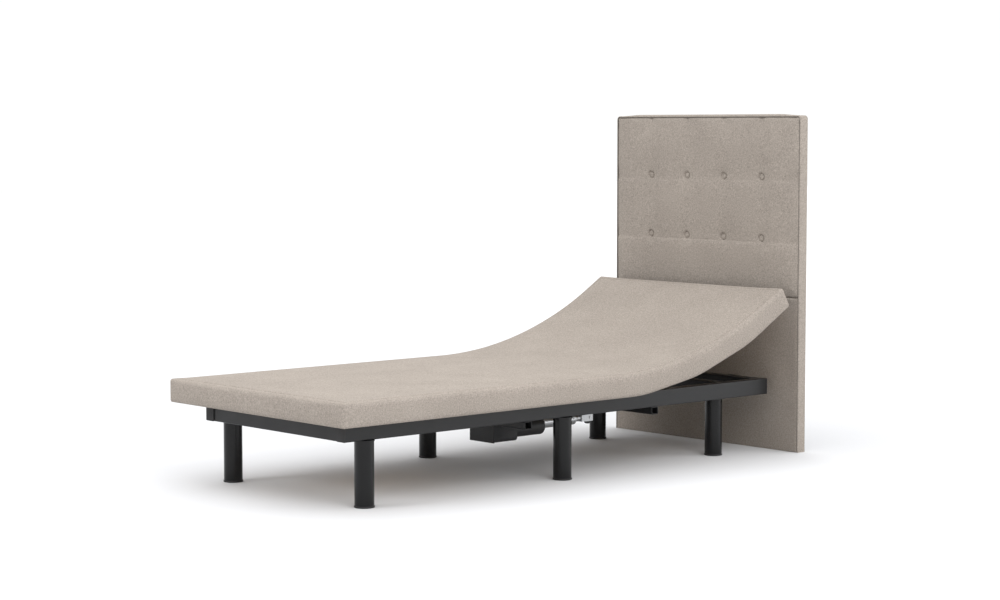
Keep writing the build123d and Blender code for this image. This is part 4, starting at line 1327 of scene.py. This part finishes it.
class BED_OT_stage(bpy.types.Operator):
    """Makes the pale floor, the soft light and the camera"""

    bl_idname = "bed.stage"
    bl_label = "Stage"

    def execute(self, context):
        scene = context.scene
        stage = scene.bed_stage
        half = stage.floor_size / 2
        pale, tree, shader, place = new_material("Pale floor")
        mottle = noise(tree, place, 3.0, 3.0)
        away = add(tree, "ShaderNodeVectorMath", operation="LENGTH")
        tree.links.new(place, away.inputs[0])
        # Painted shade: the floor is darker near the bed's middle and fades to its far tone outwards
        outward = ranged(tree, away.outputs["Value"], *FLOOR_FADE)
        spread = math_node(tree, "ADD", math_node(tree, "MULTIPLY", mottle, 0.1), outward)
        tone = colour_mix(tree, spread, FLOOR_NEAR_SHADE, FLOOR_FAR)
        tree.links.new(tone, shader.inputs["Base Color"])
        shader.inputs["Roughness"].default_value = 0.9
        shader.inputs["Specular IOR Level"].default_value = 0.1
        corners = [(-half, -half, 0), (half, -half, 0), (half, half, 0), (-half, half, 0)]
        floor = mesh_piece("studio_floor", corners, [(0, 1, 2, 3)], pale)
        self.lights(scene)
        camera = bpy.data.cameras.new("Camera")
        camera.lens = stage.lens
        camera.sensor_width = 36.0
        camera.clip_end = 200.0
        eye = bpy.data.objects.new("Camera", camera)
        eye.location = stage.camera_place
        eye.rotation_euler = (math.pi / 2 - stage.pitch, 0, stage.azimuth)
        scene.collection.objects.link(eye)
        scene.camera = eye
        scene.view_settings.view_transform = "Standard"
        return {"FINISHED"}

    def lights(self, scene):
        """A studio that is white behind the bed and overhead and dim elsewhere, with softboxes."""
        world = bpy.data.worlds.new("Studio")
        world.use_nodes = True
        tree = world.node_tree
        backdrop = tree.nodes["Background"]
        place = tree.nodes.new("ShaderNodeTexCoord")
        axes = add(tree, "ShaderNodeSeparateXYZ")
        tree.links.new(place.outputs["Generated"], axes.inputs["Vector"])
        heading = scene.bed_stage.azimuth
        behind = math_node(
            tree,
            "ADD",
            math_node(tree, "MULTIPLY", axes.outputs["X"], -math.sin(heading)),
            math_node(tree, "MULTIPLY", axes.outputs["Y"], math.cos(heading)),
        )
        overhead = ranged(tree, axes.outputs["Z"], 0.3, 0.7, 0.0, 1.2)
        low = ranged(tree, behind, 0.55, 0.85, 0.46, 1.02)
        tree.links.new(math_node(tree, "ADD", low, overhead), backdrop.inputs["Strength"])
        backdrop.inputs["Color"].default_value = (1.0, 1.0, 1.0, 1.0)
        scene.world = world
        middle = Vector((0, 0, 0.4))
        softboxes = (
            ("Key softbox", (6.5, -2.0, 4.5), 5.0, 275.0),
            ("Side softbox", (5.2, 4.4, 1.6), 2.6, 105.0),
            ("Fill softbox", (-1.5, -6.5, 3.5), 2.0, 130.0),
            ("Top softbox", (0.0, 0.0, 7.0), 8.0, 60.0),
        )
        for name, place, size, power in softboxes:
            light = bpy.data.lights.new(name, "AREA")
            light.shape = "SQUARE"
            light.size = size
            light.energy = power
            lamp = bpy.data.objects.new(name, light)
            lamp.location = place
            lamp.rotation_euler = (middle - Vector(place)).to_track_quat("-Z", "Y").to_euler()
            lamp.visible_camera = False
            scene.collection.objects.link(lamp)


class BED_PT_panel(bpy.types.Panel):
    """Lists the steps that dress the bed base"""

    bl_idname = "BED_PT_panel"
    bl_label = "Bed base"
    bl_space_type = "VIEW_3D"
    bl_region_type = "UI"
    bl_category = "Bed base"

    def draw(self, context):
        for operator in OPERATORS:
            self.layout.operator(operator.bl_idname)
        for group in ("bed_upholstery", "bed_finishes", "bed_stage"):
            settings = getattr(context.scene, group)
            box = self.layout.box()
            for name in settings.bl_rna.properties.keys():
                if name not in ("rna_type", "name"):
                    box.prop(settings, name)


SETTINGS = {
    "bed_upholstery": UpholsterySettings,
    "bed_finishes": FinishSettings,
    "bed_stage": StageSettings,
}
OPERATORS = (
    BED_OT_stage,
    BED_OT_deck_cover,
    BED_OT_headboard,
    BED_OT_buttons,
    BED_OT_lining,
    BED_OT_spring_ribs,
    BED_OT_finishes,
)


def register():
    for kind in (*SETTINGS.values(), *OPERATORS, BED_PT_panel):
        bpy.utils.register_class(kind)
    for name, kind in SETTINGS.items():
        setattr(bpy.types.Scene, name, PointerProperty(type=kind))


def unregister():
    for name in SETTINGS:
        delattr(bpy.types.Scene, name)
    for kind in reversed((*SETTINGS.values(), *OPERATORS, BED_PT_panel)):
        bpy.utils.unregister_class(kind)


def main():
    register()
    for operator in OPERATORS:
        group, name = operator.bl_idname.split(".")
        getattr(getattr(bpy.ops, group), name)()


if __name__ == "__main__":
    main()
